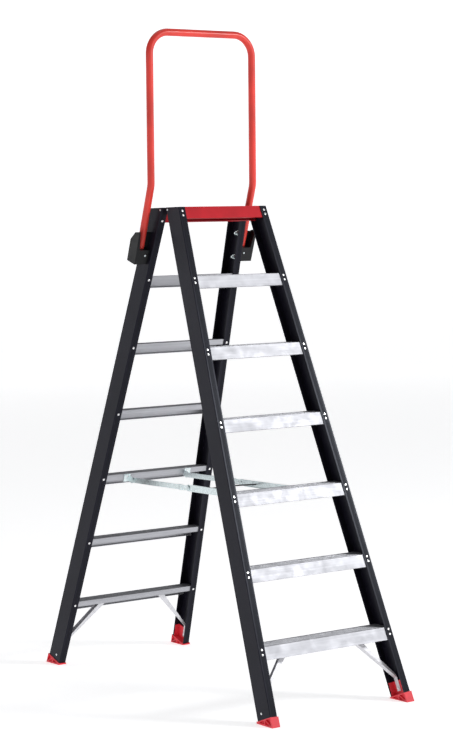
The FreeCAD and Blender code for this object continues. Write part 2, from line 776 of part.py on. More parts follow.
def brace_rivet_place():
    """The brace's upper rivet in the half frame: distance from the centre plane and slope."""
    (_, _), (top_x, top_z) = brace_line()
    x, z = top_x - d.brace_rivet_back, top_z + FLOOR_TO_STILE + d.brace_rivet_rise
    across = d.base_half_width - x * COS_FLARE - z * SIN_FLARE
    return across, z * COS_FLARE - x * SIN_FLARE


def build_brace(end, side):
    """A channel strip from the foot's insert up to the stiffening web of the lowest tread."""
    label = f"{end}_brace_{side_name(end, side)}"
    start = stile_frame(end, side) * FreeCAD.Placement(
        VECTOR(0, BRACE_PLACE.value, FLOOR_TO_STILE.value), FreeCAD.Rotation())
    body = new_body(label, start)
    (near, bend), (top_x, top_z) = brace_line()
    wall, channel = d.brace_wall, d.brace_channel
    strip = new_sketch(body, "strip", "XZ_Plane")
    tab_low = d.foot_rivet_height - d.brace_tab_drop
    outline = [(near, tab_low), (near, bend + wall * 0.5), (top_x, top_z + wall * 0.5),
               (top_x + wall, top_z - wall * 0.5), (near + wall, bend - wall * 0.5),
               (near + wall, tab_low)]
    polygon(strip, [(size(x) * -side, z) for x, z in outline])
    pad(body, strip, d.brace_width)
    start_z = bend + wall * 0.5 + d.brace_wall_rise
    end_x, end_z = top_x + d.brace_head_reach, top_z + d.brace_head_rise
    walls = [(near + d.brace_wall_start, start_z), (near + d.brace_wall_start, start_z + channel),
             (top_x - d.brace_head_back, end_z), (end_x, end_z), (end_x, end_z - 10),
             (top_x, top_z + wall * 0.5 - 0.6)]
    side_walls = new_sketch(body, "side_walls", "XZ_Plane")
    polygon(side_walls, [(size(x) * -side, z) for x, z in walls])
    pad(body, side_walls, d.brace_width)
    groove = new_sketch(body, "channel", "XZ_Plane")
    past = end_x + 4
    hollow = [(near + 1, start_z), (near + 1, bend + 20), (top_x - 30, top_z + 20),
              (past, top_z + 20), (past, top_z + 4), (top_x + 0.5, top_z + wall * 0.5 + 0.2)]
    polygon(groove, [(size(x) * -side, z) for x, z in hollow])
    pocket(body, groove, d.brace_width - wall * 2)
    tab = new_sketch(body, "tab_hole", "YZ_Plane",
                     FreeCAD.Placement(VECTOR(0, 0, (near * -side).value), FreeCAD.Rotation()))
    circle(tab, 0, d.foot_rivet_height, d.rivet_hole)
    pocket(body, tab, wall * 4)
    upper = new_sketch(body, "upper_hole", "XZ_Plane",
                       FreeCAD.Placement(VECTOR(0, 0, (d.brace_width / 2).value),
                                         FreeCAD.Rotation()))
    circle(upper, (top_x - d.brace_rivet_back) * -side, top_z + d.brace_rivet_rise, d.rivet_hole)
    pocket(body, upper, wall * 3)
    return keep(body)


# ---------------------------------------------------------------- handrail hoop

def slope_at(height, depth):
    """Slope distance of the point at a height above the floor and a depth into the frame."""
    return (height + size(depth) * SIN_LEAN) / COS_LEAN


def build_hoop_socket(side):
    """The moulded socket outside a rear stile's web that a leg of the hoop drops into."""
    label = f"hoop_socket_{side_name(REAR, side)}"
    body = new_body(label, half_frame(REAR))
    near, far, top, bottom = d.socket_near, d.socket_far, d.socket_top, d.socket_bottom
    cut, outer = d.socket_top_chamfer, d.socket_outer
    highest, lowest = slope_at(top, far), slope_at(bottom, near)
    inner = web_place(highest)
    profile = new_sketch(body, "profile", "YZ_Plane", offset_x((inner + outer) / 2 * side))
    polygon(profile, [
        (near, slope_at(bottom + d.socket_bottom_rise, near)), (far, slope_at(bottom, far)),
        (far, highest), (near + cut, slope_at(top, near + cut)), (near, slope_at(top - cut, near))])
    pad(body, profile, outer - inner)
    seat = new_sketch(body, "seat", "XZ_Plane")
    past = 30
    corners = [(inner - past, lowest - past), (web_place(lowest - past) + d.fit_gap, lowest - past),
               (web_place(highest + past) + d.fit_gap, highest + past),
               (inner - past, highest + past)]
    polygon(seat, [(x * side, z) for x, z in corners])
    pocket(body, seat, d.stile_depth * 3)

    floor = d.hoop_foot - d.plug_flange
    mouth = FreeCAD.Placement(VECTOR(0, 0, (highest + past).value), FreeCAD.Rotation())
    bore = new_sketch(body, "bore", "XY_Plane", mouth)
    circle(bore, d.hoop_half_width * side, d.hoop_depth_place, d.tube_radius + d.socket_gap)
    pocket(body, bore, highest + past - floor, midplane=False)
    face = FreeCAD.Placement(VECTOR(0, 0, -far.value), FreeCAD.Rotation())
    window = new_sketch(body, "window", "XZ_Plane", face)
    low, high = slope_at(d.window_floor, far), highest + 2
    corners = [(d.window_top_near, high), (d.window_low_near, low), (d.window_low_far, low),
               (d.window_top_far, high)]
    polygon(window, [(x * side, z) for x, z in corners])
    pocket(body, window, (far - d.hoop_depth_place) * 2)
    shallow = new_sketch(body, "window_inner_side", "XZ_Plane", face)
    corners = [(inner - past, high), (inner - past, low), (d.window_low_near + 1, low),
               (d.window_top_near + 1, high)]
    polygon(shallow, [(x * side, z) for x, z in corners])
    pocket(body, shallow, (far - d.window_shallow) * 2)
    latch = new_sketch(body, "latch_hole", "XZ_Plane", face)
    circle(latch, d.latch_screw_place * side, slope_at(d.latch_screw_height, far),
           d.screw_radius + 0.05)
    pocket(body, latch, d.screw_length * 2 + 2)
    for name, slope in zip(("upper", "lower"), bolt_slopes()):
        hole = body.newObject("PartDesign::SubtractiveCylinder", f"{label}_{name}_bolt")
        hole.AttachmentSupport = (plane(body, "XY_Plane"), [""])
        hole.MapMode = "FlatFace"
        hole.AttachmentOffset = body.Placement.inverse() * bolt_placement(side, slope)
        hole.setExpression("Radius", (d.bolt_radius + 0.05).text)
        hole.setExpression("Height", (d.web_wall + d.bolt_reach + 1).text)
    return keep(body)


def bolt_placement(side, slope):
    """A bracket bolt's placement: Z from the web's inner face outwards, under its head."""
    place = (d.web_wall * -side, d.stile_depth / 2, slope / COS_FLARE)
    return facing(stile_frame(REAR, side), place, (side, 0, 0))


def bolt_master():
    """A stud with its nut and washer: the nut and the thread's end below Z 0, the shank above."""
    head = Part.makePolygon([VECTOR(d.bolt_head.value, 0, 0)] + [
        VECTOR(d.bolt_head.value * math.cos(math.radians(60 * k)),
               d.bolt_head.value * math.sin(math.radians(60 * k)), 0) for k in range(1, 7)])
    under = d.washer_height.value
    hexagon = Part.Face(head).extrude(VECTOR(0, 0, -d.bolt_head_height.value - under))
    washer = Part.makeCylinder(d.washer_radius.value, under, VECTOR(0, 0, -under))
    end = under + (d.bolt_head_height + d.bolt_end).value
    shank = Part.makeCylinder(d.bolt_radius.value, (d.web_wall + d.bolt_reach).value + end,
                              VECTOR(0, 0, -end))
    feature = doc.addObject("Part::Feature", "hoop_bolt_master")
    feature.Shape = hexagon.fuse([washer, shank]).removeSplitter()
    return feature


def rounded_path(points, radii):
    """Straight runs through the points, with a tangent arc of each radius at each bend."""
    edges, start = [], points[0]
    for before, corner, after, radius in zip(points, points[1:], points[2:], radii):
        back, ahead = (before - corner).normalize(), (after - corner).normalize()
        half = back.getAngle(ahead) / 2
        reach = radius / math.tan(half)
        middle = corner + (back + ahead).normalize() * (radius / math.sin(half) - radius)
        first, last = corner + back * reach, corner + ahead * reach
        edges.append(Part.LineSegment(start, first).toShape())
        edges.append(Part.Arc(first, middle, last).toShape())
        start = last
    edges.append(Part.LineSegment(start, points[-1]).toShape())
    return Part.Wire(edges)


def swept_bar(path, radius):
    """A round bar along a path."""
    start = path.Edges[0].Vertexes[0].Point
    along = path.Edges[0].tangentAt(path.Edges[0].FirstParameter)
    section = Part.Wire([Part.makeCircle(radius, start, along)])
    return path.makePipeShell([section], True, True)


def build_hoop():
    """The hoop: legs that follow the rear stiles' slope, then rise upright to a level top."""
    frame = half_frame(REAR)
    foot = frame * VECTOR(0, d.hoop_depth_place.value, d.hoop_foot.value)
    slope = frame.Rotation * VECTOR(0, 0, 1)
    bend = foot + slope * ((d.hoop_bend_height.value - foot.z) / slope.z)
    rise = d.hoop_top.value - bend.z
    top = bend + VECTOR(0, -rise * math.tan(math.radians(d.hoop_lean.value)), rise)
    wide = VECTOR(d.hoop_half_width.value, 0, 0)
    points = [foot - wide, bend - wide, top - wide, top + wide, bend + wide, foot + wide]
    radii = [d.hoop_bend_radius.value, d.hoop_corner.value, d.hoop_corner.value,
             d.hoop_bend_radius.value]
    path = rounded_path(points, radii)
    outside = swept_bar(path, d.tube_radius.value)
    inside = swept_bar(path, (d.tube_radius - d.tube_wall).value)
    hoop = doc.addObject("Part::Feature", "handrail_hoop")
    hoop.Shape = outside.cut(inside)
    hoop.Label = "handrail_hoop"
    return keep(hoop)


def build_leg_plugs():
    """The plastic plugs that close the hoop's two legs and stand on the sockets' floors."""
    inner = d.tube_radius - d.tube_wall - 0.05
    plug = revolved("leg_plug_master", [
        (0, -d.plug_flange), (d.tube_radius - 0.4, -d.plug_flange), (d.tube_radius - 0.4, 0),
        (inner, 0), (inner, 14), (0, 14)])
    places = [facing(half_frame(REAR),
                     (d.hoop_half_width * side, d.hoop_depth_place, d.hoop_foot),
                     (0, 0, 1)) for side in (LEFT, RIGHT)]
    return fastener_group("hoop_leg_plugs", plug, places)


# ---------------------------------------------------------------- folding spreader

def spreader_level():
    return tread_rivet(int(d.spreader_tread.value))


def spreader_pivot(end):
    """The pivot's place in the ladder, on the centre plane of its X axis."""
    slope = spreader_level() + d.ear_height
    return half_frame(end) * VECTOR(0, d.ear_place.value, slope.value)


def ear_face(end):
    """Centre plane to the inner face of an ear: front ears lie inside the links, rear outside."""
    if end == FRONT:
        return d.ear_layer
    return d.ear_layer + d.ear_wall + d.link_wall * 2 + d.link_gap * 3


def link_face(end):
    """Centre plane to the inner face of a link."""
    front = d.ear_layer + d.ear_wall + d.link_gap
    return front if end == FRONT else front + d.link_wall + d.link_gap


def tab_rivet_across(end):
    """Centre plane to the rivet of an ear's tab: inwards on the front, outwards on the rear."""
    if end == FRONT:
        return ear_face(end) + d.ear_wall - d.tab_rivet_inset
    return ear_face(end) + d.tab_rivet_inset


def offset_x(distance):
    """A sketch offset along the normal of the YZ plane."""
    return FreeCAD.Placement(VECTOR(0, 0, size(distance).value), FreeCAD.Rotation())


def build_ear(end, side):
    """A bracket behind a tread: a tab riveted to its back wall and an ear with the pivot hole."""
    label = f"{end}_spreader_bracket_{side_name(end, side)}"
    base = FreeCAD.Placement(VECTOR(0, 0, spreader_level().value), FreeCAD.Rotation())
    body = new_body(label, half_frame(end) * base)
    back = d.stile_depth - d.flange_wall
    near = ear_face(end)
    middle = (near + d.ear_wall / 2) * side
    plate = new_sketch(body, "plate", "YZ_Plane", offset_x(middle))
    low, high = d.ear_height - d.ear_radius, d.ear_height + d.ear_radius
    polygon(plate, [(back, low), (d.ear_place, low), (d.ear_place, high), (back, high)])
    pad(body, plate, d.ear_wall)
    nose = new_sketch(body, "nose", "YZ_Plane", offset_x(middle))
    circle(nose, d.ear_place, d.ear_height, d.ear_radius)
    pad(body, nose, d.ear_wall)
    tab = new_sketch(body, "tab", "XY_Plane",
                     FreeCAD.Placement(VECTOR(0, 0, low.value), FreeCAD.Rotation()))
    if end == FRONT:
        first, last = near + d.ear_wall - d.tab_width, near + d.ear_wall
    else:
        first, last = near, near + d.tab_width
    polygon(tab, [(first * side, back), (last * side, back), (last * side, back + d.tab_wall),
                  (first * side, back + d.tab_wall)])
    pad(body, tab, d.tread_above_rivet + INNER_DEPTH * TAN_LEAN - low - 1, midplane=False)
    hole = new_sketch(body, "pivot_hole", "YZ_Plane", offset_x(middle))
    circle(hole, d.ear_place, d.ear_height, d.pin_hole)
    pocket(body, hole, d.ear_wall * 2)
    offset = FreeCAD.Placement(VECTOR(0, 0, -(back + d.tab_wall / 2).value), FreeCAD.Rotation())
    rivet = new_sketch(body, "rivet_hole", "XZ_Plane", offset)
    circle(rivet, tab_rivet_across(end) * side, d.tab_rivet_height, d.rivet_hole)
    pocket(body, rivet, d.tab_wall * 2)
    return keep(body)


def build_link(end, side):
    """A flat link from its bracket's pivot to the meeting point on the ladder's centre plane."""
    label = f"{end}_link_{side_name(end, side)}"
    turn = FreeCAD.Rotation(VECTOR(0, 0, 1), 0 if end == FRONT else 180)
    pivot = spreader_pivot(end)
    body = new_body(label, FreeCAD.Placement(pivot, turn))
    length = size(abs(pivot.y))
    high = (d.front_link_height if end == FRONT else d.rear_link_height) / 2
    middle = (link_face(end) + d.link_wall / 2) * side
    bar = new_sketch(body, "bar", "YZ_Plane", offset_x(middle))
    polygon(bar, [(0, -high), (length, -high), (length, high), (0, high)])
    pad(body, bar, d.link_wall)
    for name, place in (("pivot_end", 0), ("meeting_end", length)):
        round_end = new_sketch(body, name, "YZ_Plane", offset_x(middle))
        circle(round_end, place, 0, high)
        pad(body, round_end, d.link_wall)
    if end == FRONT:
        lip_middle = (link_face(end) - d.link_lip / 2 + 0.5) * side
        lips = new_sketch(body, "lips", "YZ_Plane", offset_x(lip_middle))
        for low in (-high, high - 1.5):
            polygon(lips, [(26, low), (length - 26, low), (length - 26, low + 1.5),
                           (26, low + 1.5)])
        pad(body, lips, d.link_lip)
    holes = new_sketch(body, "holes", "YZ_Plane", offset_x(middle))
    circle(holes, 0, 0, d.pin_hole)
    circle(holes, length, 0, d.pin_hole)
    pocket(body, holes, d.link_wall * 2)
    return keep(body)


def pin_master(label, grip):
    """A headed pin: its head below Z 0 and its plain shank above."""
    return revolved(label, [
        (0, -d.pin_head_height), (d.pin_head * 0.8, -d.pin_head_height),
        (d.pin_head, -d.pin_head_height * 0.5), (d.pin_head, 0), (d.pin_radius, 0),
        (d.pin_radius, grip), (0, grip)])


def build_pull_rod():
    """The bowed rod between the front links, by which the spreader is lifted to fold."""
    pivot = spreader_pivot(FRONT)
    across, back = link_face(FRONT).value, -d.rod_back.value
    path = Part.Wire([Part.Arc(VECTOR(-across, back, pivot.z),
                               VECTOR(0, back + d.rod_bow.value, pivot.z),
                               VECTOR(across, back, pivot.z)).toShape()])
    bar = swept_bar(path, d.rod_radius.value)
    between = Part.makeBox(across * 2, 200, 60, VECTOR(-across, back - 100, pivot.z - 30))
    rod = doc.addObject("Part::Feature", "spreader_pull_rod")
    rod.Shape = bar.common(between)
    rod.Label = "spreader_pull_rod"
    return keep(rod)


# ---------------------------------------------------------------- fasteners

def tread_rivet_places(end):
    """Head placements of the rivets that hold a frame's treads and platform to its flanges."""
    frame = half_frame(end)
    rows = [(tread_rivet(level), back_rivet_rise(d.tread_back_drop)) for level in TREADS]
    rows.append((PLATFORM_RIVET, back_rivet_rise(d.platform_back_drop, platform=True)))
    places = []
    for slope, lift in rows:
        for side in (LEFT, RIGHT):
            for drop in (size(0), d.rivet_spacing):
                across = rivet_across(slope - drop) * side
                places.append(facing(frame, (across, 0, slope - drop), (0, 1, 0)))
            across = rivet_across(slope + lift) * side
            places.append(facing(frame, (across, d.stile_depth, slope + lift), (0, -1, 0)))
    return places


def foot_rivet_places(end):
    """Head placements of the rivets through web, foot insert and brace."""
    height = FLOOR_TO_STILE + d.foot_rivet_height
    return [facing(stile_frame(end, side), (0, BRACE_PLACE, height), (-side, 0, 0))
            for side in (LEFT, RIGHT)]


def brace_rivet_places(end):
    """Head placements of the rivets that hold the braces to the lowest tread's web."""
    across, slope = brace_rivet_place()
    depth = d.flange_wall + d.fit_gap + d.tread_web_place
    return [facing(half_frame(end), (across * side, depth, slope), (0, 1, 0))
            for side in (LEFT, RIGHT)]


def end_screw_places(end):
    """Head placements of the screws into the platform's ends."""
    depth, slope = end_screw_place()
    return [facing(half_frame(end), ((web_place(slope) + 0.3) * side, depth, slope),
                   (-side, 0, 0)) for side in (LEFT, RIGHT)]


def spreader_rivet_places(end):
    """Head placements of the rivets through the spreader brackets' tabs."""
    depth = d.stile_depth - d.flange_wall + d.tab_wall
    return [facing(half_frame(end),
                   (tab_rivet_across(end) * side, depth, spreader_level() + d.tab_rivet_height),
                   (0, -1, 0)) for side in (LEFT, RIGHT)]


def latch_screw_places():
    """Head placements of the small screws on the faces of the hoop's sockets."""
    slope = slope_at(d.latch_screw_height, d.socket_far)
    return [facing(half_frame(REAR), (d.latch_screw_place * side, d.socket_far, slope),
                   (0, -1, 0)) for side in (LEFT, RIGHT)]


def pivot_pin_places(end):
    """Head placements of the spreader's pivot pins: heads on the ears' outer faces."""
    pivot = spreader_pivot(end)
    outwards = 1 if end == FRONT else -1
    face = ear_face(end) if end == FRONT else ear_face(end) + d.ear_wall
    places = []
    for side in (LEFT, RIGHT):
        frame = FreeCAD.Placement(VECTOR(0, pivot.y, pivot.z), FreeCAD.Rotation())
        places.append(facing(frame, (face * side, 0, 0), (side * outwards, 0, 0)))
    return places


def meeting_pin_places():
    """Head placements of the pins where the links meet, held by the front links."""
    frame = FreeCAD.Placement(VECTOR(0, 0, spreader_pivot(FRONT).z), FreeCAD.Rotation())
    return [facing(frame, (link_face(FRONT) * side, 0, 0), (side, 0, 0))
            for side in (LEFT, RIGHT)]


def build_fasteners():
    tread_grip = d.flange_wall + d.fit_gap + d.tread_wall
    foot_grip = d.web_wall + d.insert_wall + d.brace_wall + d.fit_gap * 2
    tread_master = rivet_master("tread_rivet_master", tread_grip)
    foot_master = rivet_master("foot_rivet_master", foot_grip)
    brace_master = rivet_master("brace_rivet_master", d.tread_wall + d.brace_wall + d.fit_gap)
    tab_master = rivet_master("tab_rivet_master", d.tab_wall + d.tread_wall + d.fit_gap)
    screw = d.screw_head
    screw_master = revolved("end_screw_master", [
        (0, -d.screw_head_height), (screw * 0.7, -d.screw_head_height), (screw, -d.screw_rim),
        (screw, 0), (d.screw_radius, 0), (d.screw_radius, d.screw_length),
        (0, d.screw_length)])
    pivot_grip = d.ear_wall + d.link_gap + d.link_wall
    pivot_master = pin_master("pivot_pin_master", pivot_grip)
    meeting_master = pin_master("meeting_pin_master", d.link_wall)
    doc.recompute()
    for end in (FRONT, REAR):
        fastener_group(f"{end}_tread_rivets", tread_master, tread_rivet_places(end))
        fastener_group(f"{end}_foot_rivets", foot_master, foot_rivet_places(end))
        fastener_group(f"{end}_brace_rivets", brace_master, brace_rivet_places(end))
        fastener_group(f"{end}_platform_screws", screw_master, end_screw_places(end))
        fastener_group(f"{end}_bracket_rivets", tab_master, spreader_rivet_places(end))
        fastener_group(f"{end}_spreader_pins", pivot_master, pivot_pin_places(end))
    fastener_group("meeting_pins", meeting_master, meeting_pin_places())
    fastener_group("hoop_latch_screws", screw_master, latch_screw_places())
    bolts = [bolt_placement(side, slope) for side in (LEFT, RIGHT) for slope in bolt_slopes()]
    fastener_group("hoop_socket_bolts", bolt_master(), bolts)


def build_hinge_caps():
    """The plastic caps that close the hinge's socket, so that its bead can't slide out."""
    master = revolved("hinge_cap_master", [
        (0, 0), (d.socket_radius, 0), (d.socket_radius, 1.6), (d.socket_radius - 1, 2.4),
        (0, 2.4)])
    places = [facing(FreeCAD.Placement(), (d.hinge_half_length * side, 0, d.hinge_height),
                     (side, 0, 0)) for side in (LEFT, RIGHT)]
    return fastener_group("hinge_end_caps", master, places)


# ---------------------------------------------------------------- assembly and export

def check_document():
    """Stop if any object of the document failed or any sub-part has no valid shape."""
    for item in doc.Objects:
        if "Invalid" in item.State or "Error" in item.State:
            raise RuntimeError(f"{item.Label} failed: {item.State}")
    for thing in parts:
        if thing.Shape.isNull() or not thing.Shape.isValid() or not thing.Shape.Solids:
            raise RuntimeError(f"{thing.Label} has no valid solid")


def build_all():
    for end in (FRONT, REAR):
        for side in (LEFT, RIGHT):
            build_stile(end, side)
            build_foot(end, side)
            build_brace(end, side)
            build_ear(end, side)
            build_link(end, side)
        for level in TREADS:
            build_tread(end, level)
        build_platform(end)
    for side in (LEFT, RIGHT):
        build_hoop_socket(side)
    build_hoop()
    build_leg_plugs()
    build_pull_rod()
    build_hinge_caps()
    build_fasteners()
    doc.recompute()


build_all()
check_document()
os.makedirs("parts", exist_ok=True)
for sub_part in parts:
    sub_part.Shape.exportStep(f"parts/{sub_part.Label}.step")
    print(sub_part.Label, len(sub_part.Shape.Solids), round(sub_part.Shape.Volume / 1000, 2))
print("hinge axis", 0, 0, d.hinge_height.value)
print("spreader pivots", spreader_pivot(FRONT), spreader_pivot(REAR))
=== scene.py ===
"""Looks of a double-sided step ladder with a lift-off red hoop, built around its fixed frame.

The frame brings every structural piece in metres, +Z up, the floor at Z 0 and the origin midway
between the four feet.  The front half is climbed from -Y and the rear half, which carries the
hoop, from +Y.  This script gives each of those pieces its finish, adds fine fittings (the stems
in the rivets, the peened ends of the spreader's pins and the clips on its rear links), and sets
the ladder in a plain bright studio.
"""
from __future__ import annotations

import json
import logging
import math
from collections.abc import Callable
from dataclasses import dataclass, field
from enum import Enum

import bmesh
import bpy
from mathutils import Matrix, Vector

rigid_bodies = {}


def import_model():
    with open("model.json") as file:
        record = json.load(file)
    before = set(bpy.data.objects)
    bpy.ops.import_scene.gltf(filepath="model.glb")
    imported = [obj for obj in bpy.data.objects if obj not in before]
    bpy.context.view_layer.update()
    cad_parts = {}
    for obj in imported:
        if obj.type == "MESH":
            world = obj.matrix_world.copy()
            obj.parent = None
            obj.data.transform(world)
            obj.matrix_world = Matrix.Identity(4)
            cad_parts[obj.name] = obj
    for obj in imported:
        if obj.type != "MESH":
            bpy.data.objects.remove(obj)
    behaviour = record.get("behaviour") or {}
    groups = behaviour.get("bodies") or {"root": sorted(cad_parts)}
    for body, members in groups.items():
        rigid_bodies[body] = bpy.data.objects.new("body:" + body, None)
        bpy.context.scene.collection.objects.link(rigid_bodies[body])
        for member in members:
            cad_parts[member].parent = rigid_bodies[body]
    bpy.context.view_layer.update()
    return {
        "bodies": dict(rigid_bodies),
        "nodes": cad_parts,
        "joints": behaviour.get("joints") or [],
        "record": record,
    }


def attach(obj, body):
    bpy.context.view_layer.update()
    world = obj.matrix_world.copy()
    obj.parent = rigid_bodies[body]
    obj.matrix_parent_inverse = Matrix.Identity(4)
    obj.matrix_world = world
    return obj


LOG = logging.getLogger("step_ladder")
Colour = tuple[float, float, float]


class Half(Enum):
    """The two ladder halves, each valued by the turn about Z that brings the front one to it."""

    FRONT = 0.0
    REAR = 180.0

    @property
    def body(self) -> str:
        """Name of the moving body that this half is."""
        return f"{self.name.lower()}_frame"


class Grain(Enum):
    """Directions in which a drawn or brushed surface runs, as turns about Y in degrees."""

    ALONG_X = 0.0
    RISING_RIGHT = -54.0
    RISING_LEFT = 54.0


# ---------------------------------------------------------------- ladder geometry


@dataclass(frozen=True)
class LadderSizes:
    """The ladder's main sizes in metres and degrees, shared by the fittings."""

    lean: float = 20.2
    flare: float = 3.47
    half_width: float = 0.2873
    half_depth: float = 0.693
    stile_depth: float = 0.073
    rivet_inset: float = 0.0135
    rivet_crown: float = 0.0015
    rivet_spacing: float = 0.016
    first_rivet: float = 0.246
    pitch: float = 0.2495
    treads: int = 6
    top_drop: float = 0.010
    tread_above_rivet: float = 0.0075
    tread_back_drop: float = 0.020
    tread_lip: float = 0.007
    tread_depth: float = 0.0676
    platform_height: float = 1.640
    platform_front_face: float = 0.0027
    platform_back_drop: float = 0.054
    spreader_tread: int = 3
    ear_place: float = 0.088
    ear_height: float = 0.014

    @property
    def platform_rivet(self) -> float:
        """Slope distance of the platform's upper rivet."""
        return self.first_rivet + self.pitch * self.treads - self.top_drop

    @property
    def lean_slope(self) -> float:
        """How far a half leans back for each metre of height."""
        return math.tan(math.radians(self.lean))

    @property
    def narrowing(self) -> float:
        """How far a stile comes inwards for each metre of height."""
        return math.tan(math.radians(self.flare)) / math.cos(math.radians(self.lean))

    @property
    def spreader_pivot(self) -> Vector:
        """Middle of the front links' pivot axis."""
        slope = self.first_rivet + self.pitch * (self.spreader_tread - 1) + self.ear_height
        return self.half_frame(Half.FRONT) @ Vector((0.0, self.ear_place, slope))

    def half_frame(self, half: Half) -> Matrix:
        """Placement of one half: leant back, and turned about Z for the rear one."""
        lean = Matrix.Rotation(math.radians(-self.lean), 4, "X")
        out = Matrix.Translation((0.0, -self.half_depth, 0.0))
        return Matrix.Rotation(math.radians(half.value), 4, "Z") @ out @ lean

    def rivet_across(self, slope: float) -> float:
        """Distance of a flange rivet from the centre plane."""
        flare = math.radians(self.flare)
        return self.half_width - slope * math.tan(flare) - self.rivet_inset / math.cos(flare)

    def tread_rivets(self, half: Half) -> list[Matrix]:
        """Places of all the rivet heads in the flanges, each with its Z out of the head.

        Args:
            half: The ladder half.

        Returns:
            One matrix per head.
        """
        frame = self.half_frame(half)
        rows = [(self.first_rivet + self.pitch * step, self.tread_above_rivet,
                 self.tread_back_drop) for step in range(self.treads)]
        above = (self.platform_height / math.cos(math.radians(self.lean))
                 + self.platform_front_face * self.lean_slope - self.platform_rivet)
        rows.append((self.platform_rivet, above, self.platform_back_drop))
        places = []
        for slope, rise, drop in rows:
            lift = rise + self.tread_depth * self.lean_slope - drop + self.tread_lip
            for side in (-1, 1):
                for low in (0.0, self.rivet_spacing):
                    spot = (side * self.rivet_across(slope - low), -self.rivet_crown, slope - low)
                    places.append(frame @ Matrix.Translation(spot)
                                  @ Matrix.Rotation(math.radians(90), 4, "X"))
                spot = (side * self.rivet_across(slope + lift),
                        self.stile_depth + self.rivet_crown, slope + lift)
                places.append(frame @ Matrix.Translation(spot)
                              @ Matrix.Rotation(math.radians(-90), 4, "X"))
        return places


# ---------------------------------------------------------------- shading tools


